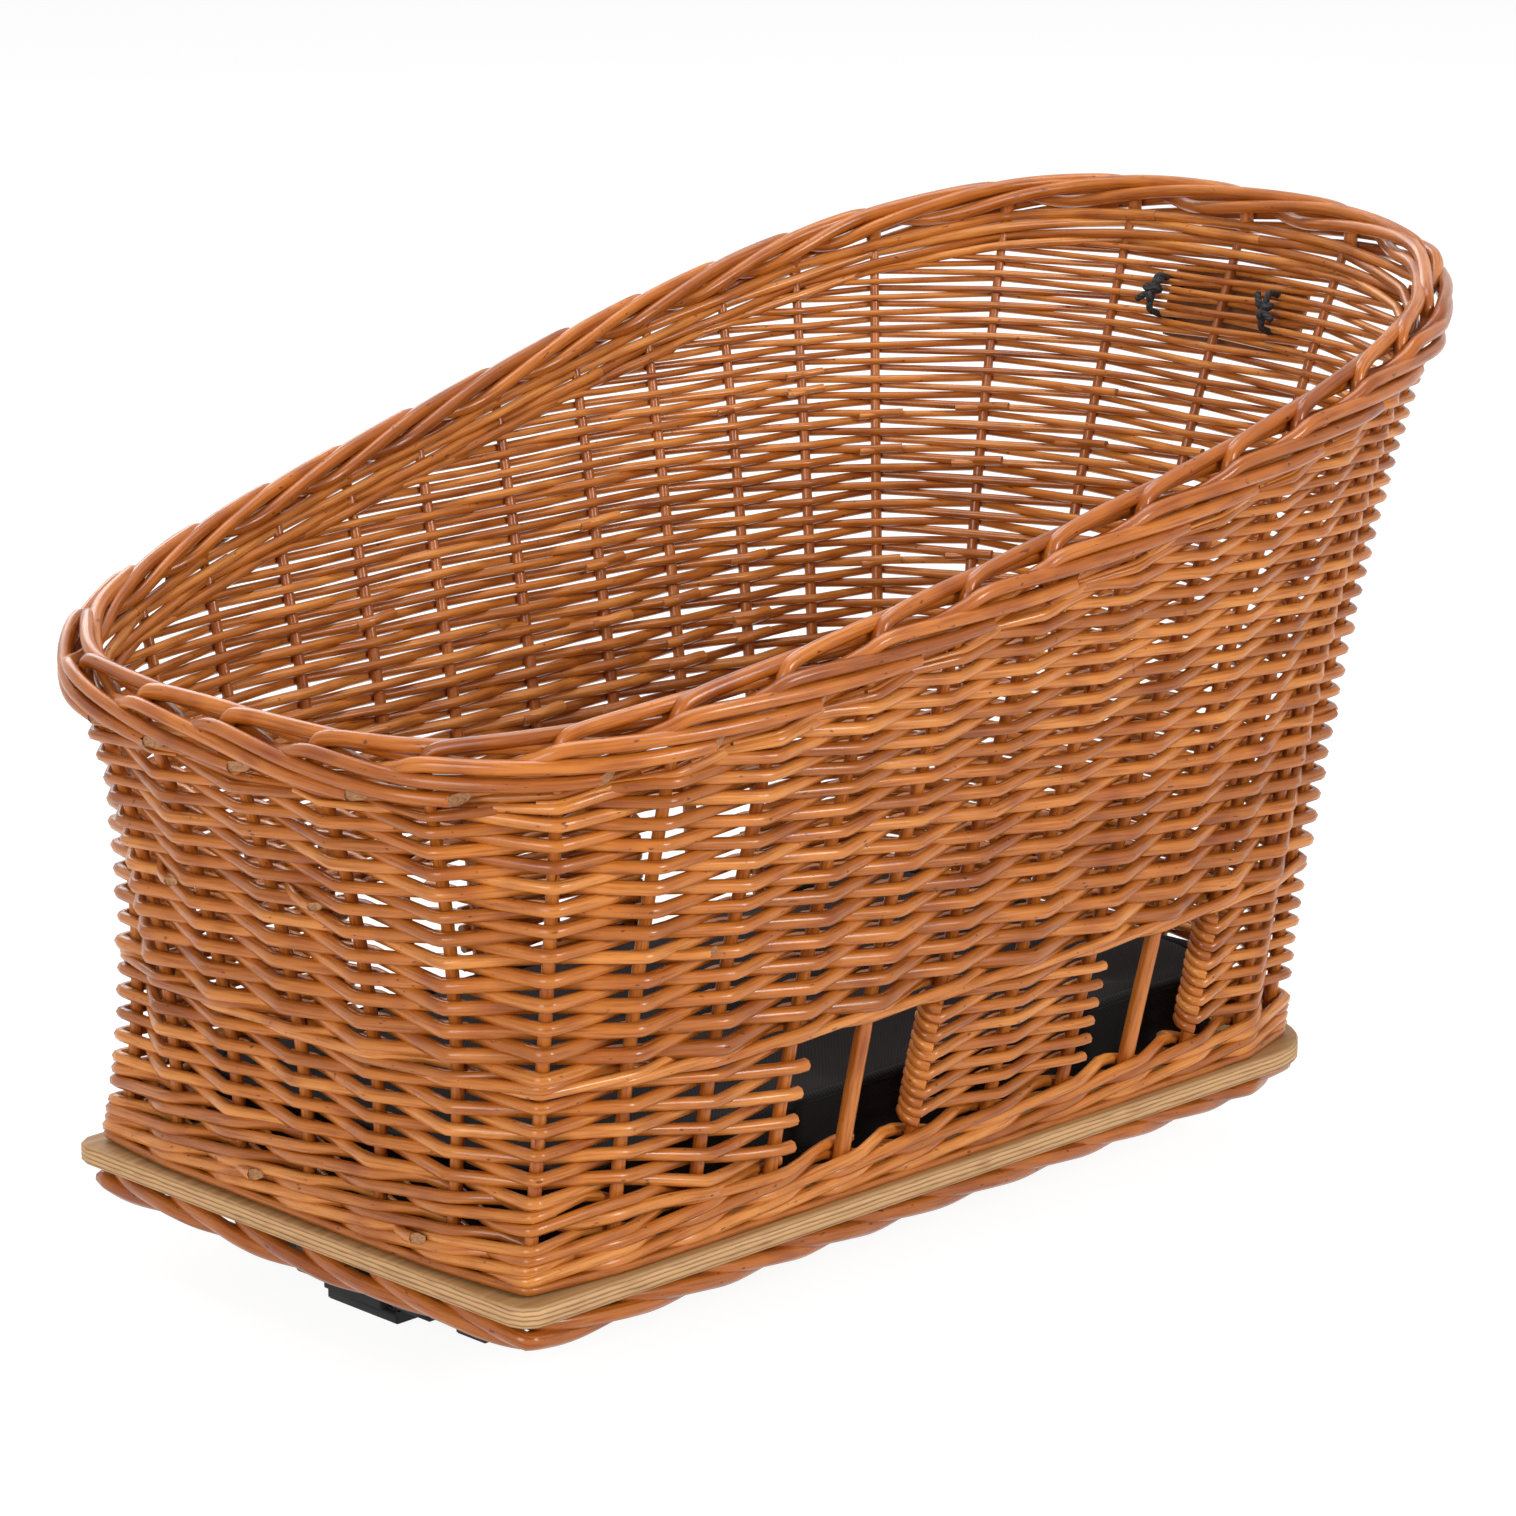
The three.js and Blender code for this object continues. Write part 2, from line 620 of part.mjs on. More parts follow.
function panel(from, to) {
  const numbers = [...stationsRound(from - wrapShare, to + wrapShare), to + wrapShare];
  return withChannels(band(numbers, false, WALE_TOP + CLEARANCE, WINDOW_TOP));
}
add('right_middle_panel', panel(middleStart, middleEnd), willow);
add('left_middle_panel', panel(mirrorNumber(middleEnd), mirrorNumber(middleStart)), willow);
add('hood_panel', panel(hoodStart, mirrorNumber(hoodStart)), willow);
add('front_panel', panel(mirrorNumber(frontEdge), STAKE_COUNT + frontEdge), willow);

// Label: a flat patch laid on the outside of the hood, tied through the wall by two lace loops
const hoodMiddle = station(sideCount + 1 + (STAKES_PER_END + 1) / 2);
const labelZ = hoodMiddle.head.z - LABEL_DROP;
const labelCentre = centre(hoodMiddle, labelZ);
const labelLow = centre(hoodMiddle, labelZ - LABEL_HEIGHT / 2);
const labelHigh = centre(hoodMiddle, labelZ + LABEL_HEIGHT / 2);
const lean = Math.atan2(labelHigh.x - labelLow.x, LABEL_HEIGHT);
const wallReach = WALL_THICKNESS / 2;
const labelOffset = wallReach + LABEL_SEAT;

// Places a piece drawn with X out of the wall, Y along it and Z up the wall
function onHood(geometry) {
  return geometry.rotateY(lean).translate(labelCentre.x, labelCentre.y, labelCentre.z);
}

function laceGeometry(y, grow) {
  const width = LACE_WIDTH + 2 * grow;
  const outside = labelOffset + LABEL_THICKNESS + CLEARANCE - grow;
  const inside = -wallReach - LABEL_SEAT + grow;
  const span = LACE_SPAN / 2;
  const depth = outside - inside + 2 * LACE_WIDTH + 4 * grow;
  const middle = (outside + inside) / 2;
  const outer = new THREE.BoxGeometry(depth, width, 2 * span + width);
  const hole = new THREE.BoxGeometry(outside - inside, width + CUT_OVERRUN, 2 * span - width);
  const loop = toSolid(outer).subtract(toSolid(hole));
  return onHood(toGeometry(loop).translate(middle, y, 0));
}

const laceSides = { right: -LACE_SPACING / 2, left: LACE_SPACING / 2 };
const laceHoles = Object.values(laceSides)
  .map((y) => toSolid(laceGeometry(y, CLEARANCE)))
  .reduce((all, one) => all.add(one));
for (const [name, y] of Object.entries(laceSides)) add(`label_tie_${name}`, laceGeometry(y, 0), lace);

function labelGeometry() {
  const outline = roundedPlan(
    -LABEL_HEIGHT / 2,
    LABEL_HEIGHT / 2,
    LABEL_WIDTH / 2,
    LABEL_CORNER_RADIUS,
    LABEL_CORNER_RADIUS,
  );
  const options = { depth: LABEL_THICKNESS, bevelEnabled: false, curveSegments: 4 };
  const patch = new THREE.ExtrudeGeometry(outline, options).rotateY(Math.PI / 2);
  const placed = onHood(patch.translate(labelOffset, 0, 0));
  return toGeometry(toSolid(placed).subtract(laceHoles));
}
add('back_label', labelGeometry(), leather);

function upperWeaveGeometry() {
  return toGeometry(toSolid(wovenWall(round)).subtract(channels).subtract(laceHoles));
}
add('upper_weave', upperWeaveGeometry(), willow);

// Cushion: a crowned pad whose sides draw in between its corners
function cushionGeometry() {
  const inset = WALL_THICKNESS / 2 + CUSHION_GAP;
  const halfLength = (BASE_FRONT_REACH + BASE_HOOD_REACH) / 2 - inset;
  const middleX = (BASE_HOOD_REACH - BASE_FRONT_REACH) / 2;
  const halfWidth = BASE_HALF_WIDTH - inset;
  const outline = roundedPlan(
    -halfLength,
    halfLength,
    halfWidth,
    CUSHION_CORNER_RADIUS,
    CUSHION_CORNER_RADIUS,
  );
  const steps = 48;
  const floor = BOARD_TOP + CLEARANCE;
  const top = floor + CUSHION_EDGE_HEIGHT;
  const edge = 1 - CUSHION_EDGE_ROUND / halfWidth;
  const bulge = (1 + edge) / 2;
  const crown = (scale) => top + CUSHION_CROWN * (1 - scale ** 2);
  const [outerTop, innerTop] = [0.75, 0.4];
  const profile = [
    [innerTop, floor],
    [edge, floor],
    [bulge, floor + CUSHION_EDGE_ROUND / 2],
    [1, floor + CUSHION_EDGE_ROUND],
    [1, top - CUSHION_EDGE_ROUND],
    [bulge, top - CUSHION_EDGE_ROUND / 2],
    [edge, top],
    [outerTop, crown(outerTop)],
    [innerTop, crown(innerTop)],
  ];
  const rings = profile.map(([scale, z]) => Array.from({ length: steps }, (_, i) => {
    const p = outline.getPoint(i / steps);
    const alongLength = 1 - (p.x / halfLength) ** 2;
    const alongWidth = 1 - (p.y / halfWidth) ** 2;
    const x = p.x * (1 - (CUSHION_DRAW_IN / halfLength) * alongWidth);
    const y = p.y * (1 - (CUSHION_DRAW_IN / halfWidth) * alongLength);
    return new THREE.Vector3(middleX + x * scale, y * scale, z);
  }));
  return skin(rings, false);
}
add('floor_cushion', cushionGeometry(), cloth);

// Adapter: keel, grooved plate, spacers, latch and spring
function boxBetween(low, high) {
  const size = low.map((v, i) => high[i] - v);
  const middle = low.map((v, i) => (v + high[i]) / 2);
  return new THREE.BoxGeometry(...size).translate(...middle);
}

const plateBottom = KEEL_THICKNESS + CLEARANCE;
const adapterRearX = ADAPTER_FRONT_X + ADAPTER_LENGTH;
const pocketBottom = plateBottom;
const pocketTop = pocketBottom + LATCH_HEIGHT + 2 * SLIDE_CLEARANCE;
const latchFront = ADAPTER_FRONT_X - LATCH_TAB;
const latchBack = ADAPTER_FRONT_X + LATCH_LENGTH;
const pocketBack = latchBack + LATCH_TRAVEL + SPRING_SEAT;
const noseFront = ADAPTER_FRONT_X + LATCH_NOSE_SETBACK;
const noseBack = noseFront + LATCH_NOSE_LENGTH;
const noseWidth = LATCH_WIDTH / 2;
const latchBottom = pocketBottom + SLIDE_CLEARANCE;
const latchMiddle = latchBottom + LATCH_HEIGHT / 2;

function keelGeometry() {
  const half = KEEL_WIDTH / 2;
  const block = boxBetween([ADAPTER_FRONT_X, -half, 0], [adapterRearX, half, KEEL_THICKNESS]);
  const slot = boxBetween(
    [noseFront - SLIDE_CLEARANCE, -noseWidth / 2 - SLIDE_CLEARANCE, -CUT_OVERRUN],
    [
      noseBack + LATCH_TRAVEL + SLIDE_CLEARANCE,
      noseWidth / 2 + SLIDE_CLEARANCE,
      KEEL_THICKNESS + CUT_OVERRUN,
    ],
  );
  return toGeometry(toSolid(block).subtract(toSolid(slot)));
}
add('adapter_keel', keelGeometry(), plastic);

function plateGeometry() {
  const half = PLATE_WIDTH / 2;
  const grooveTop = plateTop - PLATE_ROOF;
  let plate = toSolid(boxBetween([ADAPTER_FRONT_X, -half, plateBottom], [adapterRearX, half, plateTop]));
  for (const sign of [-1, 1]) {
    const [a, b] = [(sign * RIB_WIDTH) / 2, sign * (RIB_WIDTH / 2 + GROOVE_WIDTH)];
    const groove = boxBetween(
      [ADAPTER_FRONT_X - CUT_OVERRUN, Math.min(a, b), plateBottom - CUT_OVERRUN],
      [adapterRearX + CUT_OVERRUN, Math.max(a, b), grooveTop],
    );
    plate = plate.subtract(toSolid(groove));
  }
  const pocketHalf = LATCH_WIDTH / 2 + SLIDE_CLEARANCE;
  const pocket = boxBetween(
    [ADAPTER_FRONT_X - CUT_OVERRUN, -pocketHalf, pocketBottom - CUT_OVERRUN],
    [pocketBack, pocketHalf, pocketTop],
  );
  return toGeometry(plate.subtract(toSolid(pocket)).subtract(boltHoles));
}
add('adapter_plate', plateGeometry(), plastic);

boltPlaces.forEach(([x, y], i) => {
  const low = plateTop + CLEARANCE;
  const high = BOARD_BOTTOM - CLEARANCE;
  const tube = new THREE.CylinderGeometry(SPACER_DIAMETER / 2, SPACER_DIAMETER / 2, high - low, 16);
  tube.rotateX(Math.PI / 2).translate(x, y, (low + high) / 2);
  add(`spacer_${i + 1}`, toGeometry(toSolid(tube).subtract(boltHoles)), plastic);
});

function latchGeometry() {
  const half = LATCH_WIDTH / 2;
  const body = boxBetween([latchFront, -half, latchBottom], [latchBack, half, latchBottom + LATCH_HEIGHT]);
  const nose = boxBetween(
    [noseFront, -noseWidth / 2, LATCH_NOSE_LIFT],
    [noseBack, noseWidth / 2, latchBottom + LATCH_HEIGHT / 2],
  );
  const bore = new THREE.CylinderGeometry(
    SPRING_DIAMETER / 2 + SLIDE_CLEARANCE,
    SPRING_DIAMETER / 2 + SLIDE_CLEARANCE,
    2 * (SPRING_SEAT + LATCH_TRAVEL + CUT_OVERRUN),
    12,
  );
  bore.rotateZ(Math.PI / 2).translate(latchBack, 0, latchMiddle);
  return toGeometry(toSolid(body).add(toSolid(nose)).subtract(toSolid(bore)));
}
add('release_latch', latchGeometry(), plastic);

function springGeometry() {
  const start = latchBack - SPRING_SEAT;
  const end = pocketBack - CLEARANCE;
  const coil = new THREE.CylinderGeometry(SPRING_DIAMETER / 2, SPRING_DIAMETER / 2, end - start, 12);
  return coil.rotateZ(Math.PI / 2).translate((start + end) / 2, 0, latchMiddle);
}
add('latch_spring', springGeometry(), steel);

export default basket;
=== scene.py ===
# Looks of a wicker bicycle basket: each willow rod of its wall is laid round the fixed frame's stakes.
# Lengths are millimetres in the frame's axes, and become metres where a mesh is made.
import math
import random

import bmesh
import bpy
import numpy as np
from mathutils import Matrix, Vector


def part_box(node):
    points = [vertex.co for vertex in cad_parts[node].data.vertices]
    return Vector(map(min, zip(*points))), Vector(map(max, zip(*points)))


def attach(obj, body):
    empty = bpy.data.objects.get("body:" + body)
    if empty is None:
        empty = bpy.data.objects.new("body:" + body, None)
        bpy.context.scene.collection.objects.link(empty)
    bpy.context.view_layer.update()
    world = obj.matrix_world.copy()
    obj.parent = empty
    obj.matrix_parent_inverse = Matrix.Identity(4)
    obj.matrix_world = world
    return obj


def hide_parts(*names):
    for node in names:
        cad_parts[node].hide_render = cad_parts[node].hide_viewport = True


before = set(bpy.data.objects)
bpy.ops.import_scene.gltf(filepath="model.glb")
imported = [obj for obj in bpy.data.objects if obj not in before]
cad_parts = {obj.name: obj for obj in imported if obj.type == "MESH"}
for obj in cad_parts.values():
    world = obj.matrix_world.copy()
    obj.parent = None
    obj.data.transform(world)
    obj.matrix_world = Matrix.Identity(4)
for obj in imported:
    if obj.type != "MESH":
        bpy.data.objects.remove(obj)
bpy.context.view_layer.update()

MM = 0.001
rng = random.Random(11)

# Rods: radius at the butt and at the tip of a weaver, and of the other rods
ROD_SIDES = 7
STAKE_RADIUS = 2.7
STAKE_TOP_RADIUS = 2.0
BAR_RADIUS = 3.3
WEAVER_BUTT_RADIUS = 2.8
WEAVER_TIP_RADIUS = 2.3
WALE_RADIUS = 2.6
MID_WALE_RADIUS = 2.2
MID_WALE_LIFT = 2
LAID_RING_RADIUS = 2.0
BORDER_RADIUS = 3.2
FOOT_RADIUS = 3.6
ROD_SPAN_STAKES = (9, 15)
STAKE_SAMPLES = (0, 0.06, 0.16, 0.4, 0.6, 0.84, 0.94)
STAKE_RINGS = 24
ROD_SHARP_ANGLE = math.radians(75)
RING_SHARP_ANGLE = math.radians(50)
STREAK_SHIFT = 5000
CUT_SLOPE = 1.6

# How the weave lies: lengths along the wall are counted in stakes
BEND_SHARPNESS = 0.994
STAKE_ROUNDING = 0.03
HOOD_LEVEL_RISE = 60
HOOD_LEVEL_STAKES = (4, 8)
PRESS = 0.97
JOIN_LAP = 0.25
JOIN_TUCK = 1.6
JOIN_REACH = 0.4
JOIN_RISE = 0.9
ROW_JITTER = 0.3
PANEL_ROWS = 13
PANEL_ROD_RADIUS = 2.4
FRONT_PANEL_ROWS = 9
FRONT_PANEL_ROD_RADIUS = 2.75
FRONT_WALE_HEIGHT = 10
FRONT_RISE_STAKES = (3.6, 5.7)
WIDE_PANEL_STAKES = 4
FIRST_ROW_HEIGHT = 4.95
MOST_ROWS = 80
ROW_SHRINK = 0.0075
ROW_THINNING = 1.4
LOW_END_THICKNESS = 1.15
LEFT_THINNING = 0.1
LEFT_REACH = 140
HOOD_THINNING = 0.11
HOOD_THINNING_X = (120, 220)
WALE_RODS = 3
WALE_ROUNDS = 2
WALE_START = 17
WANDER = 0.45
CUT_END_REACH = 4

# Cut ends in the weave: the way of one along, up and out, then the stake number and height of each
STUB_PATH = ((-0.4, -0.8, -1), (-0.2, -0.2, 4.5), (0, 0.4, 8), (0.14, 1, 9))
WALE_STUBS = ((32.6, 56), (30.3, 58), (22.6, 60))
WALE_STUB_RADIUS = 2.3
UPPER_STUBS = ((31.6, 184), (29.7, 174), (1.5, 170), (10.6, 190), (22.4, 210))
UPPER_STUB_RADIUS = 1.9

# Under the top border: rods that follow the rim, and thin tails of the rows that meet them
RIM_ROW_DROPS = (5.5, 9.5, 13.5, 17)
RIM_ROW_RADIUS = 2.4
RIM_ROW_OFFSET = -1.8
TAIL_STAKES = 1.5
TAIL_DEPTH = 3
TAIL_THINNING = 0.6
TAIL_DROP = 15

# Stake numbers, counted from the right front corner: window edges, front middle and hood middle
RIGHT_WINDOWS = ((3, 5), (7, 9))
LEFT_WINDOWS = ((19, 21), (23, 25))
BARS = (4, 8, 20, 24)
FRONT_MIDDLE = 31
HOOD_MIDDLE = 14

# Photograph's camera
PHOTO_SIDE_PX = 1516
CAMERA_FOCAL_PX = 5200
CAMERA_AZIMUTH = -44.78
CAMERA_ELEVATION = 15.01
CAMERA_DISTANCE = 2131.1
CAMERA_TARGET = (28.9, 0, 182.6)
SENSOR_WIDTH = 36


def node_box(name):
    """Lowest corner, highest corner and middle of a node of the frame."""
    low, high = (np.array(corner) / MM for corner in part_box(name))
    return low, high, (low + high) / 2


def smoothstep(low, high, value):
    share = np.clip((value - low) / (high - low), 0, 1)
    return share * share * (3 - 2 * share)


# Heights of the wall's bands, from the frame
BOARD_BOTTOM, BOARD_TOP, _ = (corner[2] for corner in node_box("base_board"))
WALE_TOP = node_box("bottom_wale")[1][2]
MID_WALE_TOP = node_box("mid_wale")[1][2]
WINDOW_TOP = MID_WALE_TOP + MID_WALE_LIFT - 4 * MID_WALE_RADIUS
STAKE_COUNT = sum(name.startswith("stake_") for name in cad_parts)


# Stakes' centre lines
def stake_line(index):
    """Middles of a stake's rings in the frame, from the board up."""
    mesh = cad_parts[f"stake_{index + 1:02d}"].data
    points = np.array([v.co for v in mesh.vertices]) / MM
    heights = sorted(set(np.round(points[:, 2], 1)))
    rings = [points[np.abs(points[:, 2] - z) < 0.1] for z in heights if z > BOARD_TOP - 0.5]
    return np.array([(ring.min(0) + ring.max(0)) / 2 for ring in rings])


stake_lines = [stake_line(i) for i in range(STAKE_COUNT)]
heads = np.array([line[-1] for line in stake_lines])


def bend_of(line):
    """Cubic curves for a stake's X and Y by its share of the height."""
    share = (line[:, 2] - BOARD_TOP) / (line[-1, 2] - BOARD_TOP)
    return [np.polyfit(share, line[:, axis], 3) for axis in (0, 1)]


bends = np.array([bend_of(line) for line in stake_lines])


def stake_xy(index, z):
    index = index % STAKE_COUNT
    share = np.maximum(0, (z - BOARD_TOP) / (heads[index, 2] - BOARD_TOP))[:, None]
    cubic = bends[index]
    return ((cubic[..., 0] * share + cubic[..., 1]) * share + cubic[..., 2]) * share + cubic[..., 3]


def through(before, start, end, after, share):
    """A smooth curve from start to end that heads for the points on either side."""
    share = share[:, None]
    rise = (end - before) / 2
    fall = (after - start) / 2
    ease = share * share * (3 - 2 * share)
    bow = share * (1 - share)
    return start + (end - start) * ease + bow * (rise * (1 - share) - fall * share)


def wall_centre(place, z):
    """Points on straight runs from stake to stake, rounded a little at each stake."""
    total = 0
    for shift in (-STAKE_ROUNDING, 0, STAKE_ROUNDING):
        first = np.floor(place + shift).astype(int)
        share = (place + shift - first)[:, None]
        total = total + stake_xy(first, z) * (1 - share) + stake_xy(first + 1, z) * share
    return total / 3


def rim(place):
    """Points on the smooth line through the stakes' heads."""
    first = np.floor(place).astype(int)
    return through(*(heads[(first + k) % STAKE_COUNT] for k in (-1, 0, 1, 2)), place - first)


def square_to(run):
    """Level unit directions to the right of runs round the basket, which is outward."""
    return np.column_stack([run[:, 1], -run[:, 0]]) / np.linalg.norm(run[:, :2], axis=1, keepdims=True)


def rim_outward(place):
    step = 0.12
    return square_to(rim(place + step) - rim(place - step))


def stake_outward(index, z):
    """Level direction out of the wall at stakes, longer at a corner, where rods kink as one mitre."""
    before = square_to(stake_xy(index, z) - stake_xy(index - 1, z))
    after = square_to(stake_xy(index + 1, z) - stake_xy(index, z))
    return (before + after) / (1 + np.sum(before * after, axis=1, keepdims=True))


def from_hood(place):
    """How many stakes a place is from the hood's middle."""
    half = STAKE_COUNT / 2
    return np.abs((place - HOOD_MIDDLE + half) % STAKE_COUNT - half)


def wall(place, z, out):
    """Points of the wall by stake number, height and offset: square to its lean, level round the hood."""
    place, z, out = np.broadcast_arrays(np.asarray(place, float), z, out)
    middle = wall_centre(place, z)
    first = np.floor(place).astype(int)
    share = (place - first)[:, None]
    level = stake_outward(first, z) * (1 - share) + stake_outward(first + 1, z) * share
    lean = np.sum((wall_centre(place, z + 1) - middle) * level, axis=1)
    high = smoothstep(MID_WALE_TOP, MID_WALE_TOP + HOOD_LEVEL_RISE, z)
    lean = lean * (1 - high * (1 - smoothstep(*HOOD_LEVEL_STAKES, from_hood(place))))
    normal = np.column_stack([level, -lean]) / np.hypot(1, lean)[:, None]
    return np.column_stack([middle, z]) + normal * out[:, None]


def smooth_path(keys, samples):
    """A smooth run through rows of numbers."""
    keys = np.asarray(keys, float)
    padded = np.vstack([keys[0], keys, keys[-1]])
    share = np.linspace(0, 1, samples, endpoint=False)
    runs = []
    for i in range(len(keys) - 1):
        four = [np.repeat(padded[i + k][None], samples, 0) for k in range(4)]
        runs.append(through(*four, share))
    return np.vstack([*runs, keys[-1:]])


# Meshes
def mesh_points(mesh):
    return np.array([v.co for v in mesh.vertices])


def ring_quads(start, rings, count, closed=False):
    """Faces between neighbouring rings of points."""
    faces = []
    for k in range(rings if closed else rings - 1):
        here, there = start + k * count, start + (k + 1) % rings * count
        for i in range(count):
            j = (i + 1) % count
            faces.append((here + i, here + j, there + j, there + i))
    return faces


def end_caps(start, rings, count):
    """Faces that close the first and the last ring."""
    last = start + (rings - 1) * count
    return [tuple(start + i for i in reversed(range(count))), tuple(last + i for i in range(count))]


class Bundle:
    """Rods collected into one mesh. Each point keeps its rod's tone and its place on the straight rod."""

    def __init__(self):
        self.vertices, self.tones, self.places = [], [], []
        self.faces, self.cut_faces = [], []

    def rod(self, points, radii, tone, sides=ROD_SIDES, closed=False, slant=None):
        """Adds a rod along points. A slant is the direction that a sloping cut at its end faces."""
        points = np.asarray(points, float)
        radii = np.broadcast_to(radii, len(points))
        start, rings = len(self.vertices), len(points)
        across, upward = frames_along(points, closed)
        angles = np.linspace(0, 2 * math.pi, sides, endpoint=False)
        lengths = np.linalg.norm(np.diff(points, axis=0), axis=1)
        along = np.concatenate([[0], np.cumsum(lengths)]) + rng.uniform(0, STREAK_SHIFT)
        for k, centre in enumerate(points):
            for angle in angles:
                x, y = radii[k] * math.cos(angle), radii[k] * math.sin(angle)
                self.vertices.append((centre + across[k] * x + upward[k] * y) * MM)
                self.places.append((along[k] * MM, x * MM, y * MM))
                self.tones.append(tone)
        if slant is not None:
            self.slant_end(points, sides, slant)
        self.faces.extend(ring_quads(start, rings, sides, closed))
        if not closed:
            self.cut_faces.extend(end_caps(start, rings, sides))

    def slant_end(self, points, sides, slant):
        heading = points[-1] - points[-2]
        heading = heading / np.linalg.norm(heading)
        for i in range(1, sides + 1):
            offset = self.vertices[-i] / MM - points[-1]
            self.vertices[-i] = (points[-1] + offset - CUT_SLOPE * heading * (offset @ slant)) * MM

    def mesh(self, name):
        mesh = bpy.data.meshes.new(name)
        mesh.from_pydata(self.vertices, [], self.faces + self.cut_faces)
        tone = mesh.attributes.new("tone", "FLOAT", "POINT")
        tone.data.foreach_set("value", self.tones)
        place = mesh.attributes.new("straight", "FLOAT_VECTOR", "POINT")
        place.data.foreach_set("vector", np.array(self.places, np.float32).ravel())
        materials = [0] * len(self.faces) + [1] * len(self.cut_faces)
        mesh.polygons.foreach_set("material_index", materials)
        mesh.shade_smooth()
        mesh.set_sharp_from_angle(angle=ROD_SHARP_ANGLE)
        return mesh

    def piece(self, name, materials, slot, *nodes, body="basket"):
        piece(name, self.mesh(name), materials, slot, *nodes, body=body)


def frames_along(points, closed):
    """Sideways and upward unit directions at each point of a line, turning as little as they can."""
    if closed:
        tangents = np.roll(points, -1, 0) - np.roll(points, 1, 0)
    else:
        tangents = np.gradient(points, axis=0)
    tangents /= np.linalg.norm(tangents, axis=1, keepdims=True)
    reference = np.array([0.0, 0, 1]) if abs(tangents[0][2]) < 0.8 else np.array([1.0, 0, 0])
    side = np.cross(tangents[0], reference)
    across = []
    for tangent in tangents:
        side = side - tangent * (side @ tangent)
        side = side / np.linalg.norm(side)
        across.append(side)
    across = np.array(across)
    return across, np.cross(across, tangents)


def add_object(name, data):
    obj = bpy.data.objects.new(name, data)
    bpy.context.scene.collection.objects.link(obj)
    return obj


def piece(name, mesh, materials, slot, *nodes, body="basket"):
    """A finished piece that rides on a body and stands for nodes of the frame."""
    obj = add_object(name, mesh)
    for material in materials:
        mesh.materials.append(material)
    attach(obj, body)
    if nodes:
        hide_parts(*nodes)
    return obj


# Materials
def new_material(name):
    material = bpy.data.materials.new(name)
    material.use_nodes = True
    return material, material.node_tree.nodes["Principled BSDF"]


def fill(made, inputs):
    """Links a node's inputs to sockets, or sets their values."""
    for key, value in inputs.items():
        if isinstance(value, bpy.types.NodeSocket):
            made.id_data.links.new(value, made.inputs[key])
        else:
            made.inputs[key].default_value = value


def node(near, kind, inputs=(), **settings):
    """A shader node beside another node or socket, with its settings, and its inputs linked or set."""
    made = near.id_data.nodes.new(kind)
    for key, value in settings.items():
        setattr(made, key, value)
    fill(made, dict(inputs))
    return made


def calculate(operation, *values):
    return node(values[0], "ShaderNodeMath", enumerate(values), operation=operation).outputs[0]


def object_place(shader):
    return node(shader, "ShaderNodeTexCoord").outputs["Object"]


def straight_place(shader):
    """A point's place on its rod or thread laid straight."""
    return node(shader, "ShaderNodeAttribute", attribute_name="straight").outputs["Vector"]


def height_of_vector(vector):
    return node(vector, "ShaderNodeSeparateXYZ", {0: vector}).outputs["Z"]


def colour_ramp(factor, *stops):
    ramp = node(factor, "ShaderNodeValToRGB", {"Fac": factor})
    elements = ramp.color_ramp.elements
    while len(elements) < len(stops):
        elements.new(0.5)
    for element, (position, colour) in zip(elements, stops):
        element.position = position
        element.color = (*colour, 1)
    return ramp.outputs["Color"]


def noise(vector, scale, detail=3.0, stretch=(1, 1, 1)):
    """Noise, drawn out along the axes where the stretch is below 1."""
    stretched = node(vector, "ShaderNodeMapping", {"Scale": stretch, "Vector": vector}).outputs["Vector"]
    inputs = {"Scale": scale, "Detail": detail, "Vector": stretched}
    return node(vector, "ShaderNodeTexNoise", inputs).outputs["Fac"]


def darken(colour, pattern, low, high, shade, amount=1):
    """Multiplies a colour by a shade where a pattern is high."""
    inputs = {"Factor": map_range(pattern, low, high, 0, amount), 6: colour, 7: (*shade, 1)}
    return node(colour, "ShaderNodeMix", inputs, data_type="RGBA", blend_type="MULTIPLY").outputs[2]


def map_range(value, low, high, to_low, to_high):
    limits = {"From Min": low, "From Max": high, "To Min": to_low, "To Max": to_high}
    return node(value, "ShaderNodeMapRange", {"Value": value, **limits}).outputs["Result"]


def bump(height, strength, distance):
    inputs = {"Strength": strength, "Distance": distance, "Height": height}
    return node(height, "ShaderNodeBump", inputs).outputs["Normal"]


def willow(name, *stops):
    """Varnished willow: a tone for each rod, streaks along it, dark specks and a soft gloss."""
    material, shader = new_material(name)
    tone = node(shader, "ShaderNodeAttribute", attribute_name="tone").outputs["Fac"]
    straight = straight_place(shader)
    streaks = noise(straight, 900, stretch=(0.06, 1, 1))
    patches = noise(straight, 28, 2.0)
    specks = noise(straight, 520, 1.0, stretch=(0.45, 1, 1))
    colour = colour_ramp(tone, *stops)
    colour = darken(colour, streaks, 0.45, 0.72, (0.62, 0.5, 0.38))
    colour = darken(colour, patches, 0.48, 0.68, (0.7, 0.55, 0.42))
    colour = darken(colour, specks, 0.71, 0.77, (0.3, 0.2, 0.14), 0.9)
    fill(shader, {
        "Base Color": colour,
        "Roughness": map_range(streaks, 0.3, 0.7, 0.3, 0.44),
        "Specular IOR Level": 0.2,
        "Coat Weight": 0.46,
        "Coat Roughness": 0.2,
        "Normal": bump(streaks, 0.45, 0.0004),
    })
    return material


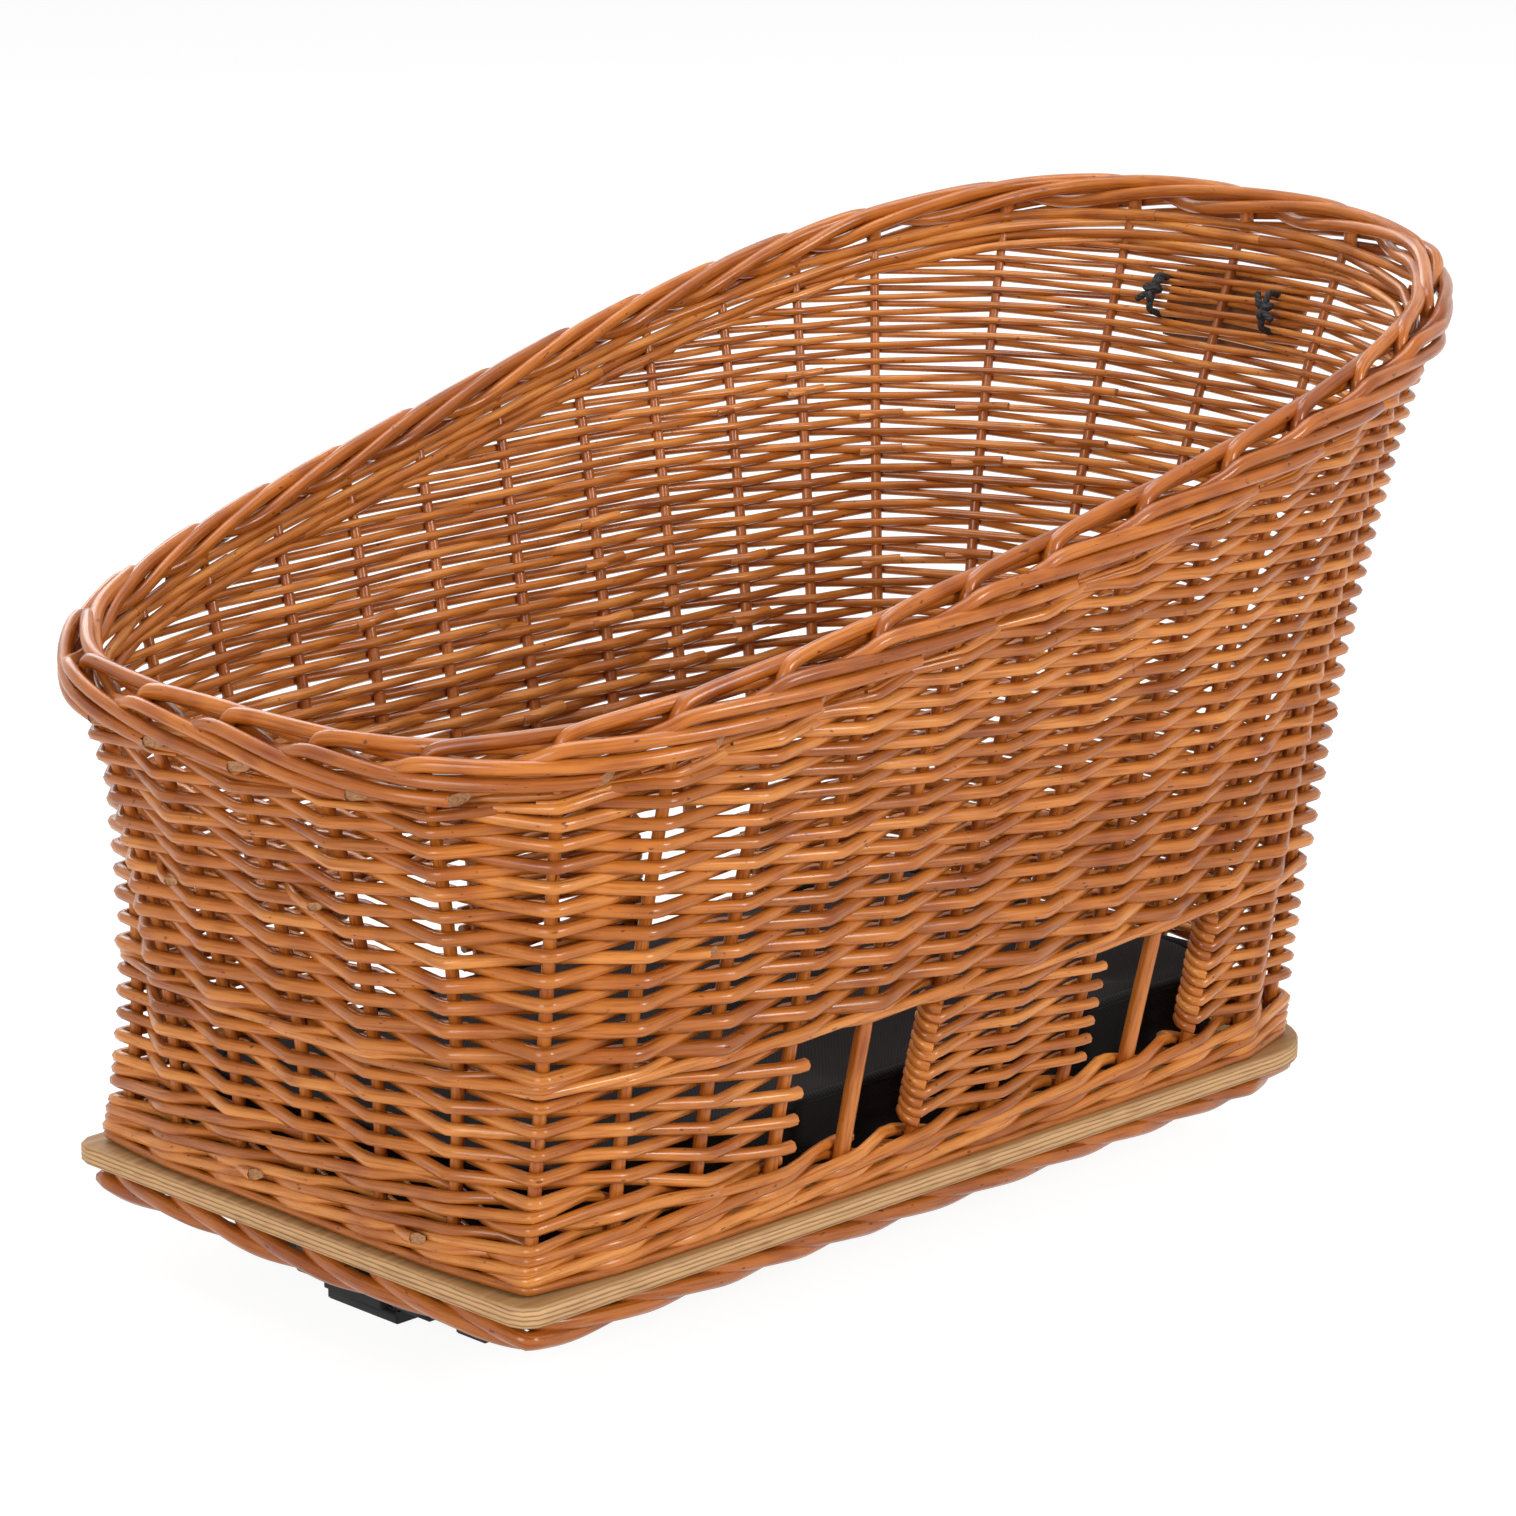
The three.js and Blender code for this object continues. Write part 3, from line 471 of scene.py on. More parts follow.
def cut_willow():
    """End grain where a rod is cut."""
    material, shader = new_material("cut_willow")
    grain = noise(straight_place(shader), 1400)
    colour = colour_ramp(grain, (0.3, (0.22, 0.085, 0.028)), (0.7, (0.50, 0.25, 0.105)))
    fill(shader, {"Base Color": colour, "Roughness": 0.7})
    return material


WEAVE = willow(
    "woven_willow",
    (0.0, (0.385, 0.110, 0.012)), (0.5, (0.540, 0.170, 0.022)), (1.0, (0.690, 0.262, 0.052)))
STAKE = willow(
    "stake_willow",
    (0.0, (0.380, 0.102, 0.011)), (0.5, (0.480, 0.138, 0.015)), (1.0, (0.560, 0.178, 0.026)))
BORDER = willow(
    "border_willow",
    (0.0, (0.330, 0.084, 0.008)), (0.5, (0.450, 0.124, 0.012)), (1.0, (0.570, 0.180, 0.024)))
CUT = cut_willow()


# Rows of randing
def wander(place, row):
    """Slow rise and fall that neighbouring rows share."""
    slow = np.sin(0.85 * place + 0.31 * row) + 0.7 * np.sin(2.1 * place - 0.17 * row + 1.3)
    return WANDER * slow


def zigzag(place, row):
    """1 in front of a stake and -1 behind it, straight between stakes with a soft bend at each."""
    wave = np.cos(math.pi * (place + row))
    return np.arcsin(BEND_SHARPNESS * wave) / math.asin(BEND_SHARPNESS)


def hidden_stake(place, row):
    """The stake nearest a place that a row passes behind."""
    stake = round(place)
    return stake if (stake + row) % 2 else stake + 1


def split_row(start, end, row):
    """Cuts a row into rods that meet behind a stake."""
    edges = [start]
    while True:
        join = hidden_stake(edges[-1] + rng.uniform(*ROD_SPAN_STAKES), row)
        if join > end - ROD_SPAN_STAKES[0] / 2:
            break
        edges.append(join)
    edges.append(end)
    return list(zip(edges[:-1], edges[1:]))


def rod_places(start, end):
    """Places along a rod, closest together where it bends at the stakes."""
    whole = np.arange(math.floor(start), math.ceil(end))
    places = (whole[:, None] + np.array(STAKE_SAMPLES)).ravel()
    inner = places[(places > start + 0.03) & (places < end - 0.03)]
    return np.concatenate([[start], inner, [end]])


def taper(place, start, end):
    """Radius of a weaver that thins from its butt to its tip."""
    share = (place - start) / (end - start)
    size = rng.uniform(0.93, 1.07)
    return size * (WEAVER_BUTT_RADIUS + (WEAVER_TIP_RADIUS - WEAVER_BUTT_RADIUS) * share)


def thinning(radius, spread, ends, count):
    """Radii along a rod of random thickness that thins evenly from end to end."""
    return radius * rng.uniform(*spread) * np.linspace(*ends, count)


def stake_radius(z):
    """Stakes thin out above the mid wale."""
    share = smoothstep(MID_WALE_TOP, heads[:, 2].max(), z)
    return STAKE_RADIUS + (STAKE_TOP_RADIUS - STAKE_RADIUS) * share


def weave_offset(place, row, z, radii):
    return PRESS * (stake_radius(z) + radii) * zigzag(place, row)


def join_tuck(place, ends, joined=(True, True)):
    """1 at a rod's joined ends, which dive inside the wall, falling to 0 along it."""
    tuck = np.zeros(len(place))
    for end, is_joined in zip(ends, joined):
        if is_joined:
            tuck = np.maximum(tuck, 1 - smoothstep(0, JOIN_REACH, np.abs(place - end)))
    return tuck


def randing_row(bundle, start, end, row, height_of, radius_of):
    """A row of randing, over one stake and under the next, from rods joined on the inside."""
    whole_round = end - start == STAKE_COUNT
    for first, last in split_row(start, end, row):
        joined = (whole_round or first != start, whole_round or last != end)
        low = first - JOIN_LAP if joined[0] else first
        high = last + JOIN_LAP if joined[1] else last
        place = rod_places(low, high)
        radii = radius_of(place, row) * taper(place, low, high)
        tuck = join_tuck(place, (low, high), joined)
        rise = JOIN_RISE * tuck * np.sign((low + high) / 2 - place)
        z = height_of(place, row) + rng.uniform(-ROW_JITTER, ROW_JITTER) + rise
        out = weave_offset(place, row, z, radii) - JOIN_TUCK * tuck
        bundle.rod(wall(place, z, out), radii, rng.random())


def round_start(row):
    """A random stake for a whole round to start behind."""
    return hidden_stake(rng.uniform(0, STAKE_COUNT), row)


def stub(bundle, place, z, radius):
    """The cut end of a rod that sticks out of the weave."""
    path = smooth_path(STUB_PATH, 3)
    points = wall(place + path[:, 0], z + path[:, 1], path[:, 2])
    inner, outer = wall(np.full(2, place), z, np.array([9.0, 10.0]))
    bundle.rod(points, radius, 0.6 + 0.4 * rng.random(), slant=outer - inner)


# Waling: rods in turn, each behind one stake and in front of the next two, rising as it goes
def split_wale(start, end):
    """Cuts one rod's run into lengths that meet where it is behind a stake."""
    edges = [start]
    while edges[-1] < end:
        edges.append(min(end, edges[-1] + WALE_RODS * rng.randrange(3, 6)))
    return zip(edges[:-1], edges[1:])


def wale_side(beat):
    """-1 behind the stake at beat 0 and 1 in front of the others, with a swing between."""
    from_back = np.minimum(beat, WALE_RODS - beat)
    return np.where(from_back < 1, -np.cos(math.pi * from_back), 1)


def wale_climb(beat):
    """A rise from -0.5 to 0.5 along the front, and the drop back behind a stake."""
    back = (beat + 0.5) % WALE_RODS
    return np.where(back < 1, 0.5 - smoothstep(0, 1, back), (back - 1) / (WALE_RODS - 1) - 0.5)


def waling(bundle, start, end, height_of, round_height, radius):
    for weaver in range(WALE_RODS):
        for first, last in split_wale(start + weaver, end + weaver):
            place = rod_places(first - JOIN_LAP, last + JOIN_LAP)
            beat = (place - start - weaver) % WALE_RODS
            radii = thinning(radius, (0.92, 1.08), (1.06, 0.92), len(place))
            tuck = join_tuck(place, (place[0], place[-1]))
            z = height_of(place) + round_height(place) * wale_climb(beat) + 0.5 * wander(place, weaver)
            offset = PRESS * (STAKE_RADIUS + radii) * wale_side(beat) - JOIN_TUCK * tuck
            bundle.rod(wall(place, z, offset), radii, rng.random())


def laid_ring(bundle, z, radius):
    """A rod that lies on the board round the outside of the stakes."""
    place = rod_places(STAKE_COUNT / 2, 1.5 * STAKE_COUNT + JOIN_LAP)
    bundle.rod(wall(place, z + 0.3 * wander(place, 3), STAKE_RADIUS + 1.3 * radius), radius, rng.random())


def level_waling(bundle, low, high, rounds, radius):
    """Rounds of waling between two heights, each closing on itself at the far hood corner."""
    end = WALE_START + STAKE_COUNT - STAKE_COUNT % WALE_RODS
    climb = (high - low - 2 * radius) / rounds
    for number in range(rounds):
        middle = low + radius + (number + 0.5) * climb
        waling(bundle, WALE_START + number, end + number, lambda p: middle, lambda p: climb, radius)


def front_rise(place):
    """1 round the low end, falling to 0 at the windows."""
    return 1 - smoothstep(*FRONT_RISE_STAKES, np.abs(place - FRONT_MIDDLE))


# Panels between the windows
def wrapped_start(stake, row, z, spacing):
    """A weaver's turn round the stake at a window's edge: places, heights and offsets."""
    turn = np.linspace(0.15, 1, 7)[:-1] * math.pi
    front = 1 if (stake + row) % 2 == 0 else -1
    reach = STAKE_RADIUS + WEAVER_BUTT_RADIUS * 0.85
    place = stake - reach * np.sin(turn) / spacing
    out = -front * reach * np.cos(turn)
    height = z + front * 1.3 * np.cos(turn)
    return place, height, out


def panel_spans(start, end, row):
    """One rod across a narrow panel, or two that meet behind a stake near the middle of a wide one."""
    if end - start <= WIDE_PANEL_STAKES:
        return [(start, end)]
    middle = hidden_stake((start + end) / 2 + rng.uniform(-2, 2), row)
    return [(start, middle + JOIN_LAP), (middle - JOIN_LAP, end)]


def panel(bundle, start, end, rows, height_of, spacing, rod_radius):
    """Rows between two windows: each turns round the first stake and is cut off just past the last."""
    for row in range(rows):
        radius = rod_radius * rng.uniform(0.92, 1.06)
        edge_height = float(height_of(np.array([start]), row)[0])
        turn = wrapped_start(start, row, edge_height, spacing)
        reach = CUT_END_REACH * rng.uniform(0.85, 1.2) / spacing
        for first, last in panel_spans(start, end, row):
            place = rod_places(first, last)
            z = height_of(place, row)
            run = np.array([place, z, weave_offset(place, row, z, radius)])
            if first == start:
                run = np.hstack([turn, run])
            if last == end:
                tip = np.linspace(0, reach, 4)[1:]
                run = np.hstack([run, run[:, -1:] + np.outer((1, 0, 0), tip)])
            radii = radius * np.linspace(1, 0.92, run.shape[1])
            bundle.rod(wall(*run), radii, rng.random())


def panel_rows(rows, raised):
    """Heights of even rows between a lower edge, raised at the low end, and the windows' top."""
    def height_of(place, row):
        low = WALE_TOP + raised * front_rise(place)
        return low + (row + 0.5) * (WINDOW_TOP - low) / rows
    return height_of


def stake_spacing(stake):
    here, there = wall_centre(np.array([stake, stake + 1.0]), np.full(2, WALE_TOP))
    return float(np.linalg.norm(there - here))


def make_panels():
    spacing = stake_spacing(RIGHT_WINDOWS[0][0])
    front = (LEFT_WINDOWS[1][1], STAKE_COUNT + RIGHT_WINDOWS[0][0])
    plain = (PANEL_ROWS, PANEL_ROD_RADIUS, 0)
    panels = {
        "right_middle_panel": (RIGHT_WINDOWS[0][1], RIGHT_WINDOWS[1][0], *plain),
        "left_middle_panel": (LEFT_WINDOWS[0][1], LEFT_WINDOWS[1][0], *plain),
        "hood_panel": (RIGHT_WINDOWS[1][1], LEFT_WINDOWS[0][0], *plain),
        "front_panel": (*front, FRONT_PANEL_ROWS, FRONT_PANEL_ROD_RADIUS, FRONT_WALE_HEIGHT),
    }
    for name, (start, end, rows, rod_radius, raised) in panels.items():
        bundle = Bundle()
        panel(bundle, start, end, rows, panel_rows(rows, raised), spacing, rod_radius)
        if raised:
            half = raised / 2 + WALE_RADIUS
            waling(
                bundle, start - 1, end - 1, lambda p: WALE_TOP - WALE_RADIUS + half * front_rise(p),
                lambda p: raised * front_rise(p), WALE_RADIUS)
        bundle.piece(f"woven_{name}", (WEAVE, CUT), "willow", name)


def make_wales():
    bundle = Bundle()
    laid_ring(bundle, BOARD_TOP + LAID_RING_RADIUS, LAID_RING_RADIUS)
    level_waling(bundle, BOARD_TOP + 1, WALE_TOP - 1, WALE_ROUNDS, WALE_RADIUS)
    for place, z in WALE_STUBS:
        stub(bundle, place, z, WALE_STUB_RADIUS)
    bundle.piece("woven_bottom_wale", (WEAVE, CUT), "willow", "bottom_wale")
    bundle = Bundle()
    level_waling(bundle, WINDOW_TOP, MID_WALE_TOP + MID_WALE_LIFT, 1, MID_WALE_RADIUS)
    bundle.piece("woven_mid_wale", (WEAVE, CUT), "willow", "mid_wale")


# Upper wall: rows that get finer upward, and thin away under the border where they meet it
def upper_height(place, row):
    rise = FIRST_ROW_HEIGHT * (1 - (1 - ROW_SHRINK) ** (row + 0.5)) / ROW_SHRINK
    return MID_WALE_TOP + rise + wander(place, row)


def upper_thickness(place, row):
    """Share of a rod's thickness: less upward, round the hood and along the left side."""
    foot = wall_centre(place, np.full(len(place), BOARD_TOP))
    to_left = LEFT_THINNING * foot[:, 1] / LEFT_REACH
    by_side = LOW_END_THICKNESS - to_left - HOOD_THINNING * smoothstep(*HOOD_THINNING_X, foot[:, 0])
    return by_side * (1 - ROW_SHRINK) ** (row * ROW_THINNING)


def ceiling(place):
    return rim(place)[:, 2] - TAIL_DROP


def open_row(bundle, row, free):
    """A row that leaves off under the border on both sides of the hood and follows it as a thin tail."""
    ends = ((free[0], 1), (free[-1], -1))

    def tail_share(place, edge, step):
        return np.clip((edge - place) * step / TAIL_STAKES, 0, 1)

    def height_of(place, number):
        z = upper_height(place, number)
        for edge, step in ends:
            follow = ceiling(place) - TAIL_DEPTH * (1 - tail_share(place, edge, step))
            z = np.where((edge - place) * step > 0, follow, z)
        return z

    def radius_of(place, number):
        thickness = upper_thickness(place, number)
        for edge, step in ends:
            thickness *= 1 - TAIL_THINNING * smoothstep(0, 1, tail_share(place, edge, step))
        return thickness

    randing_row(bundle, free[0] - TAIL_STAKES, free[-1] + TAIL_STAKES, row, height_of, radius_of)


def rim_row(bundle, number, drop):
    """A rod all the way round that keeps a distance below the rim."""
    start = round_start(number)
    for first, last in split_row(start, start + STAKE_COUNT, number):
        place = rod_places(first - JOIN_LAP, last + JOIN_LAP)
        radii = thinning(RIM_ROW_RADIUS, (0.85, 1.1), (1, 0.85), len(place))
        z = rim(place)[:, 2] - drop + 0.4 * wander(place, number)
        out = 0.6 * weave_offset(place, number, z, radii) + RIM_ROW_OFFSET
        bundle.rod(wall(place, z, out), radii, rng.random())


def make_upper_weave():
    bundle = Bundle()
    front = FRONT_MIDDLE - STAKE_COUNT
    places = np.linspace(front, FRONT_MIDDLE, STAKE_COUNT * 24)
    for row in range(MOST_ROWS):
        room = ceiling(places) - upper_height(places, row) > TAIL_DEPTH
        if room.all():
            start = round_start(row)
            randing_row(bundle, start, start + STAKE_COUNT, row, upper_height, upper_thickness)
            continue
        free = places[room]
        if len(free) == 0 or free[-1] - free[0] < 1:
            break
        open_row(bundle, row, free)
    for number, drop in enumerate(RIM_ROW_DROPS):
        rim_row(bundle, number, drop)
    for place, z in UPPER_STUBS:
        stub(bundle, place, z, UPPER_STUB_RADIUS)
    bundle.piece("woven_upper_wall", (WEAVE, CUT), "willow", "upper_weave")


# Top border: each stake bends over, runs behind two stakes, comes out and lies in front of the next ones
BORDER_PATH = (
    (0, 0, -9), (0, 0, 1), (0.02, -0.1, 5), (0.1, -0.8, 8.2), (0.4, -2.4, 9.2), (1, -3.6, 8.7),
    (1.5, -5.4, 6.6), (2, -6.2, 3), (2.3, -4.6, 0.4), (2.55, 0, -0.4), (2.8, 4.4, 2.2), (3.1, 6.1, 4.4),
    (4, 6.7, -1.4), (4.8, 6.2, -6.6), (5.3, 3.6, -9.6),
)


def make_top_border():
    bundle = Bundle()
    path = smooth_path(BORDER_PATH, 6)
    for stake in range(STAKE_COUNT):
        place = stake + path[:, 0] * (1 + rng.uniform(-0.02, 0.03))
        points = rim(place)
        points[:, :2] += rim_outward(place) * path[:, 1:2]
        points[:, 2] += path[:, 2]
        radii = thinning(BORDER_RADIUS, (0.93, 1.05), (1.0, 0.9), len(points))
        slant = np.append(rim_outward(np.array([stake + BORDER_PATH[-1][0]]))[0], -0.4)
        bundle.rod(points, radii, rng.random(), sides=9, slant=slant)
    bundle.piece("rolled_top_border", (BORDER, CUT), "willow", "top_border")


# Foot border: each stake's lower end turns along under the board, round the outside of the next one
FOOT_PATH = (
    (0, -1, 6), (0, -0.6, 0), (0.1, 0.6, -3), (0.45, 3.4, -4.6), (1, 4.6, -6.8), (1.45, 2.2, -9.4),
    (2, -2.2, -9.6), (2.5, -4, -7.6),
)
FOOT_SHIFT = 2
FOOT_DEPTH = 1.15
FOOT_SIDE_LIFT = 0.25
FOOT_HOOD_LIFT = 0.2
FOOT_RAIL_LIFT = 0.17
LOW_END_X = -215


def foot_depth(place):
    """The foot border hangs lowest at the low end, less over the adapter's rails and towards the hood."""
    centre = wall_centre(place, np.full(len(place), BOARD_TOP))
    x, side = centre[:, 0], np.abs(centre[:, 1])
    at_low_end = 1 - smoothstep(LOW_END_X, -190, x)
    over_rail = smoothstep(35, 55, side) * (1 - smoothstep(85, 115, side)) * at_low_end
    lift = FOOT_SIDE_LIFT * smoothstep(LOW_END_X, -150, x) + FOOT_HOOD_LIFT * smoothstep(-150, 200, x)
    return FOOT_DEPTH - lift - FOOT_RAIL_LIFT * over_rail


def make_foot_border():
    bundle = Bundle()
    path = smooth_path(FOOT_PATH, 6)
    for stake in range(STAKE_COUNT):
        place = stake + path[:, 0]
        points = wall(place, BOARD_BOTTOM, path[:, 1] + FOOT_SHIFT)
        points[:, 2] += path[:, 2] * foot_depth(place)
        radii = thinning(FOOT_RADIUS, (0.94, 1.06), (1.0, 0.92), len(points))
        bundle.rod(points, radii, 0.5 * rng.random(), sides=9)
    bundle.piece("twisted_foot_border", (STAKE, CUT), "willow", "foot_border")


def make_stakes():
    for stake in range(STAKE_COUNT):
        name = f"stake_{stake + 1:02d}"
        z = np.linspace(BOARD_BOTTOM + 2, heads[stake, 2] - 8, STAKE_RINGS)
        radii = stake_radius(z)
        if stake in BARS:
            radii = radii + (BAR_RADIUS - STAKE_RADIUS) * smoothstep(MID_WALE_TOP, WINDOW_TOP - 4, z)
        bundle = Bundle()
        bundle.rod(wall(np.full(len(z), float(stake)), z, 0), radii, 0.2 + 0.7 * rng.random(), sides=10)
        bundle.piece(f"willow_{name}", (STAKE, CUT), "stake_willow", name)


# Rounded plates: rings of one outline at given insets and heights
def rounded_outline(half, radii, steps):
    """Points round a rectangle, with one radius at its -X corners and one at its +X corners."""
    points = []
    for index, (sx, sy) in enumerate(((-1, -1), (1, -1), (1, 1), (-1, 1))):
        radius = radii[0] if sx < 0 else radii[1]
        centre = np.array([sx, sy]) * (half - radius)
        turn = math.pi + (index + np.linspace(0, 1, steps)) * math.pi / 2
        points.extend(centre + radius * np.column_stack([np.cos(turn), np.sin(turn)]))
    return even_outline(np.array(points))


def even_outline(points, spacing=6.0):
    """The same closed line with its points at even steps."""
    closed = np.vstack([points, points[:1]])
    lengths = np.concatenate([[0], np.cumsum(np.linalg.norm(np.diff(closed, axis=0), axis=1))])
    places = np.linspace(0, lengths[-1], round(lengths[-1] / spacing), endpoint=False)
    return np.column_stack([np.interp(places, lengths, closed[:, axis]) for axis in (0, 1)])


def at_height(flat, z):
    return np.column_stack([flat, np.full(len(flat), z)])


def ring_mesh(name, rings):
    """A closed mesh through rings of equally many points, capped at both ends."""
    count = len(rings[0])
    faces = ring_quads(0, len(rings), count) + end_caps(0, len(rings), count)
    mesh = bpy.data.meshes.new(name)
    mesh.from_pydata((np.vstack(rings) * MM).tolist(), [], faces)
    mesh.shade_smooth()
    mesh.set_sharp_from_angle(angle=RING_SHARP_ANGLE)
    return mesh


def ring_piece(name, rings, material, slot, node_name):
    piece(name, ring_mesh(name, rings), (material,), slot, node_name)


# Plywood board
BOARD_RADII = (9, 40)
BOARD_EDGE_ROUND = 0.7
PLY_COUNT = 5
PLY_WANDER = 1.6 * MM


def plywood():
    """Grain along the sheet on its faces, and layered plies with dark glue lines on its edge."""
    material, shader = new_material("plywood")
    place = object_place(shader)
    grain = noise(place, 260, 4.0, stretch=(0.05, 1, 1))
    face = colour_ramp(grain, (0.3, (0.27, 0.145, 0.052)), (0.7, (0.50, 0.295, 0.120)))
    fuzz = noise(place, 480, 4.0, stretch=(0.12, 0.12, 1))
    height = calculate("MULTIPLY_ADD", fuzz, PLY_WANDER, height_of_vector(place))
    plies = map_range(height, BOARD_BOTTOM * MM, BOARD_TOP * MM + PLY_WANDER, 0, PLY_COUNT)
    edge = colour_ramp(
        calculate("PINGPONG", plies, 0.5),
        (0.0, (0.20, 0.098, 0.034)), (0.12, (0.43, 0.240, 0.098)), (0.35, (0.62, 0.365, 0.165)))
    edge = darken(edge, fuzz, 0.5, 0.8, (0.55, 0.45, 0.35), 0.8)
    normal = node(shader, "ShaderNodeNewGeometry").outputs["True Normal"]
    flat = map_range(calculate("ABSOLUTE", height_of_vector(normal)), 0.6, 0.8, 0, 1)
    mix = node(shader, "ShaderNodeMix", {"Factor": flat, 6: edge, 7: face}, data_type="RGBA")
    relief = bump(fuzz, 0.35, 0.0005)
    fill(shader, {"Base Color": mix.outputs[2], "Roughness": 0.62, "Normal": relief})
    return material


def make_board():
    low, high, middle = node_box("base_board")
    half = (high - low) / 2
    outline = rounded_outline(half[:2], BOARD_RADII, 9) + middle[:2]
    normals = outline_normals(outline)
    edge = BOARD_EDGE_ROUND
    levels = (
        (4, low[2]), (edge, low[2]), (0, low[2] + edge), (0, high[2] - edge), (edge, high[2]), (4, high[2]),
    )
    rings = [at_height(outline - inset * normals, z) for inset, z in levels]
    ring_piece("plywood_board", rings, plywood(), "plywood", "base_board")


def outline_normals(points):
    along = np.roll(points, -1, 0) - np.roll(points, 1, 0)
    normal = np.column_stack([along[:, 1], -along[:, 0]])
    return normal / np.linalg.norm(normal, axis=1, keepdims=True)


# Floor cushion
CUSHION_CORNER = 34
CUSHION_INSET = 5
CUSHION_SIDE_HEIGHT = 35
CUSHION_GRID = 7.0
CUSHION_SWELL_CAP = 5.5
CUSHION_FRAMES = 18
CUSHION_CLOTH = {
    "use_pressure": True,
    "uniform_pressure_force": 4,
    "vertex_group_mass": "held",
    "tension_stiffness": 12,
    "compression_stiffness": 6,
    "bending_stiffness": 0.4,
}
PIPING_RADIUS = 2.1


def twill():
    """Dark woven twill with fine slanting ribs and a little lint."""
    material, shader = new_material("dark_twill")
    place = object_place(shader)
    turned = node(shader, "ShaderNodeMapping", {"Rotation": (0.6, 0.5, math.radians(58)), "Vector": place})
    wave = {"Scale": 360.0, "Distortion": 0.5, "Detail": 1.0, "Vector": turned.outputs["Vector"]}
    ribs = node(shader, "ShaderNodeTexWave", wave).outputs["Fac"]
    colour = colour_ramp(ribs, (0.2, (0.0025, 0.002, 0.0022)), (0.8, (0.0085, 0.0065, 0.007)))
    colour = darken(colour, noise(place, 1500, 2.0), 0.45, 0.7, (0.5, 0.5, 0.5), 0.7)
    colour = darken(colour, noise(place, 18), 0.45, 0.75, (0.75, 0.74, 0.72), 0.5)
    fill(shader, {
        "Base Color": colour,
        "Roughness": 0.9,
        "Specular IOR Level": 0.2,
        "Sheen Weight": 0.04,
        "Sheen Roughness": 0.5,
        "Normal": bump(ribs, 0.4, 0.0004),
    })
    return material


def cushion_rings():
    """Rings from the underside's middle out to its seam, up the side to the top seam and in again."""
    low, high, middle = node_box("floor_cushion")
    half = (high - low)[:2] / 2 - CUSHION_INSET
    floor = low[2]
    outline = even_outline(rounded_outline(half, (CUSHION_CORNER,) * 2, 12), CUSHION_GRID)
    steps = np.arange(0, half[1] - 6, CUSHION_GRID)
    levels = [(inset, floor + 0.2) for inset in steps[::-1]]
    sides = np.linspace(0, 1, 6)[1:]
    levels += [(0, floor + CUSHION_SIDE_HEIGHT * share) for share in sides]
    levels += [(inset, floor + CUSHION_SIDE_HEIGHT + 3 * smoothstep(0, 60, inset)) for inset in steps[1:]]
    seams = (len(steps) - 1, len(steps) - 1 + len(sides))
    rings = []
    for inset, z in levels:
        rings.append(at_height(outline * (half - inset) / half + middle[:2], z))
    return rings, seams, len(outline)


def swell(mesh, pinned):
    """Blows a pad up with a short cloth simulation and gives back how far each point moved."""
    scene = bpy.context.scene
    pad = add_object("swelling_pad", mesh.copy())
    pad.vertex_groups.new(name="held").add(pinned, 1.0, "REPLACE")
    settings = pad.modifiers.new("cloth", "CLOTH").settings
    for key, value in CUSHION_CLOTH.items():
        setattr(settings, key, value)
    settings.effector_weights.gravity = 0
    for number in range(1, CUSHION_FRAMES + 1):
        scene.frame_set(number)
    moved = pad.evaluated_get(bpy.context.evaluated_depsgraph_get()).to_mesh()
    shift = mesh_points(moved) - mesh_points(mesh)
    scene.frame_set(1)
    bpy.data.objects.remove(pad)
    return shift


def make_cushion():
    rings, seams, count = cushion_rings()
    mesh = ring_mesh("floor_cushion_pad", rings)
    held = list(range((seams[0] + 1) * count))
    shift = swell(mesh, held)
    length = np.linalg.norm(shift, axis=1, keepdims=True)
    cap = CUSHION_SWELL_CAP * MM
    shift = shift * np.minimum(1, cap / np.maximum(length, 1e-9))
    for vertex, step in zip(mesh.vertices, shift):
        vertex.co += Vector(step)
    points = mesh_points(mesh) / MM
    fabric = twill()
    pad = piece("floor_cushion_pad", mesh, (fabric,), "cushion_fabric", "floor_cushion", body="cushion")
    subdivide = pad.modifiers.new("smooth", "SUBSURF")
    subdivide.levels = subdivide.render_levels = 1
    bundle = Bundle()
    for seam, lift in zip(seams, (PIPING_RADIUS * 0.8, 0)):
        line = points[seam * count:(seam + 1) * count].copy()
        line[:, 2] += lift
        bundle.rod(line, PIPING_RADIUS, 0.5, sides=8, closed=True)
    bundle.piece("cushion_piping", (fabric,), "cushion_fabric", body="cushion")


# Blank leather label outside the hood end, tied through the wall with two laces
LABEL_SIZE = (78, 32)
LABEL_THICKNESS = 2.4
LABEL_CORNER = 5
LABEL_EDGE_ROUND = 0.6
LABEL_DIP = 0.15
STITCH_INSET = 3.5
STITCH_LENGTH = 3.2
STITCH_GAP = 1.6
STITCH_RISE = 0.35
STITCH_RADIUS = 0.45
LACE_RADIUS = 1.5


def leather():
    material, shader = new_material("brown_leather")
    place = object_place(shader)
    cells = node(shader, "ShaderNodeTexVoronoi", {"Scale": 900.0, "Vector": place}).outputs["Distance"]
    tone = noise(place, 60, 4.0)
    colour = colour_ramp(tone, (0.3, (0.17, 0.062, 0.017)), (0.7, (0.29, 0.115, 0.036)))
    rough = map_range(tone, 0.3, 0.7, 0.45, 0.62)
    relief = bump(cells, 0.3, 0.0004)
    fill(shader, {"Base Color": colour, "Roughness": rough, "Normal": relief})
    return material


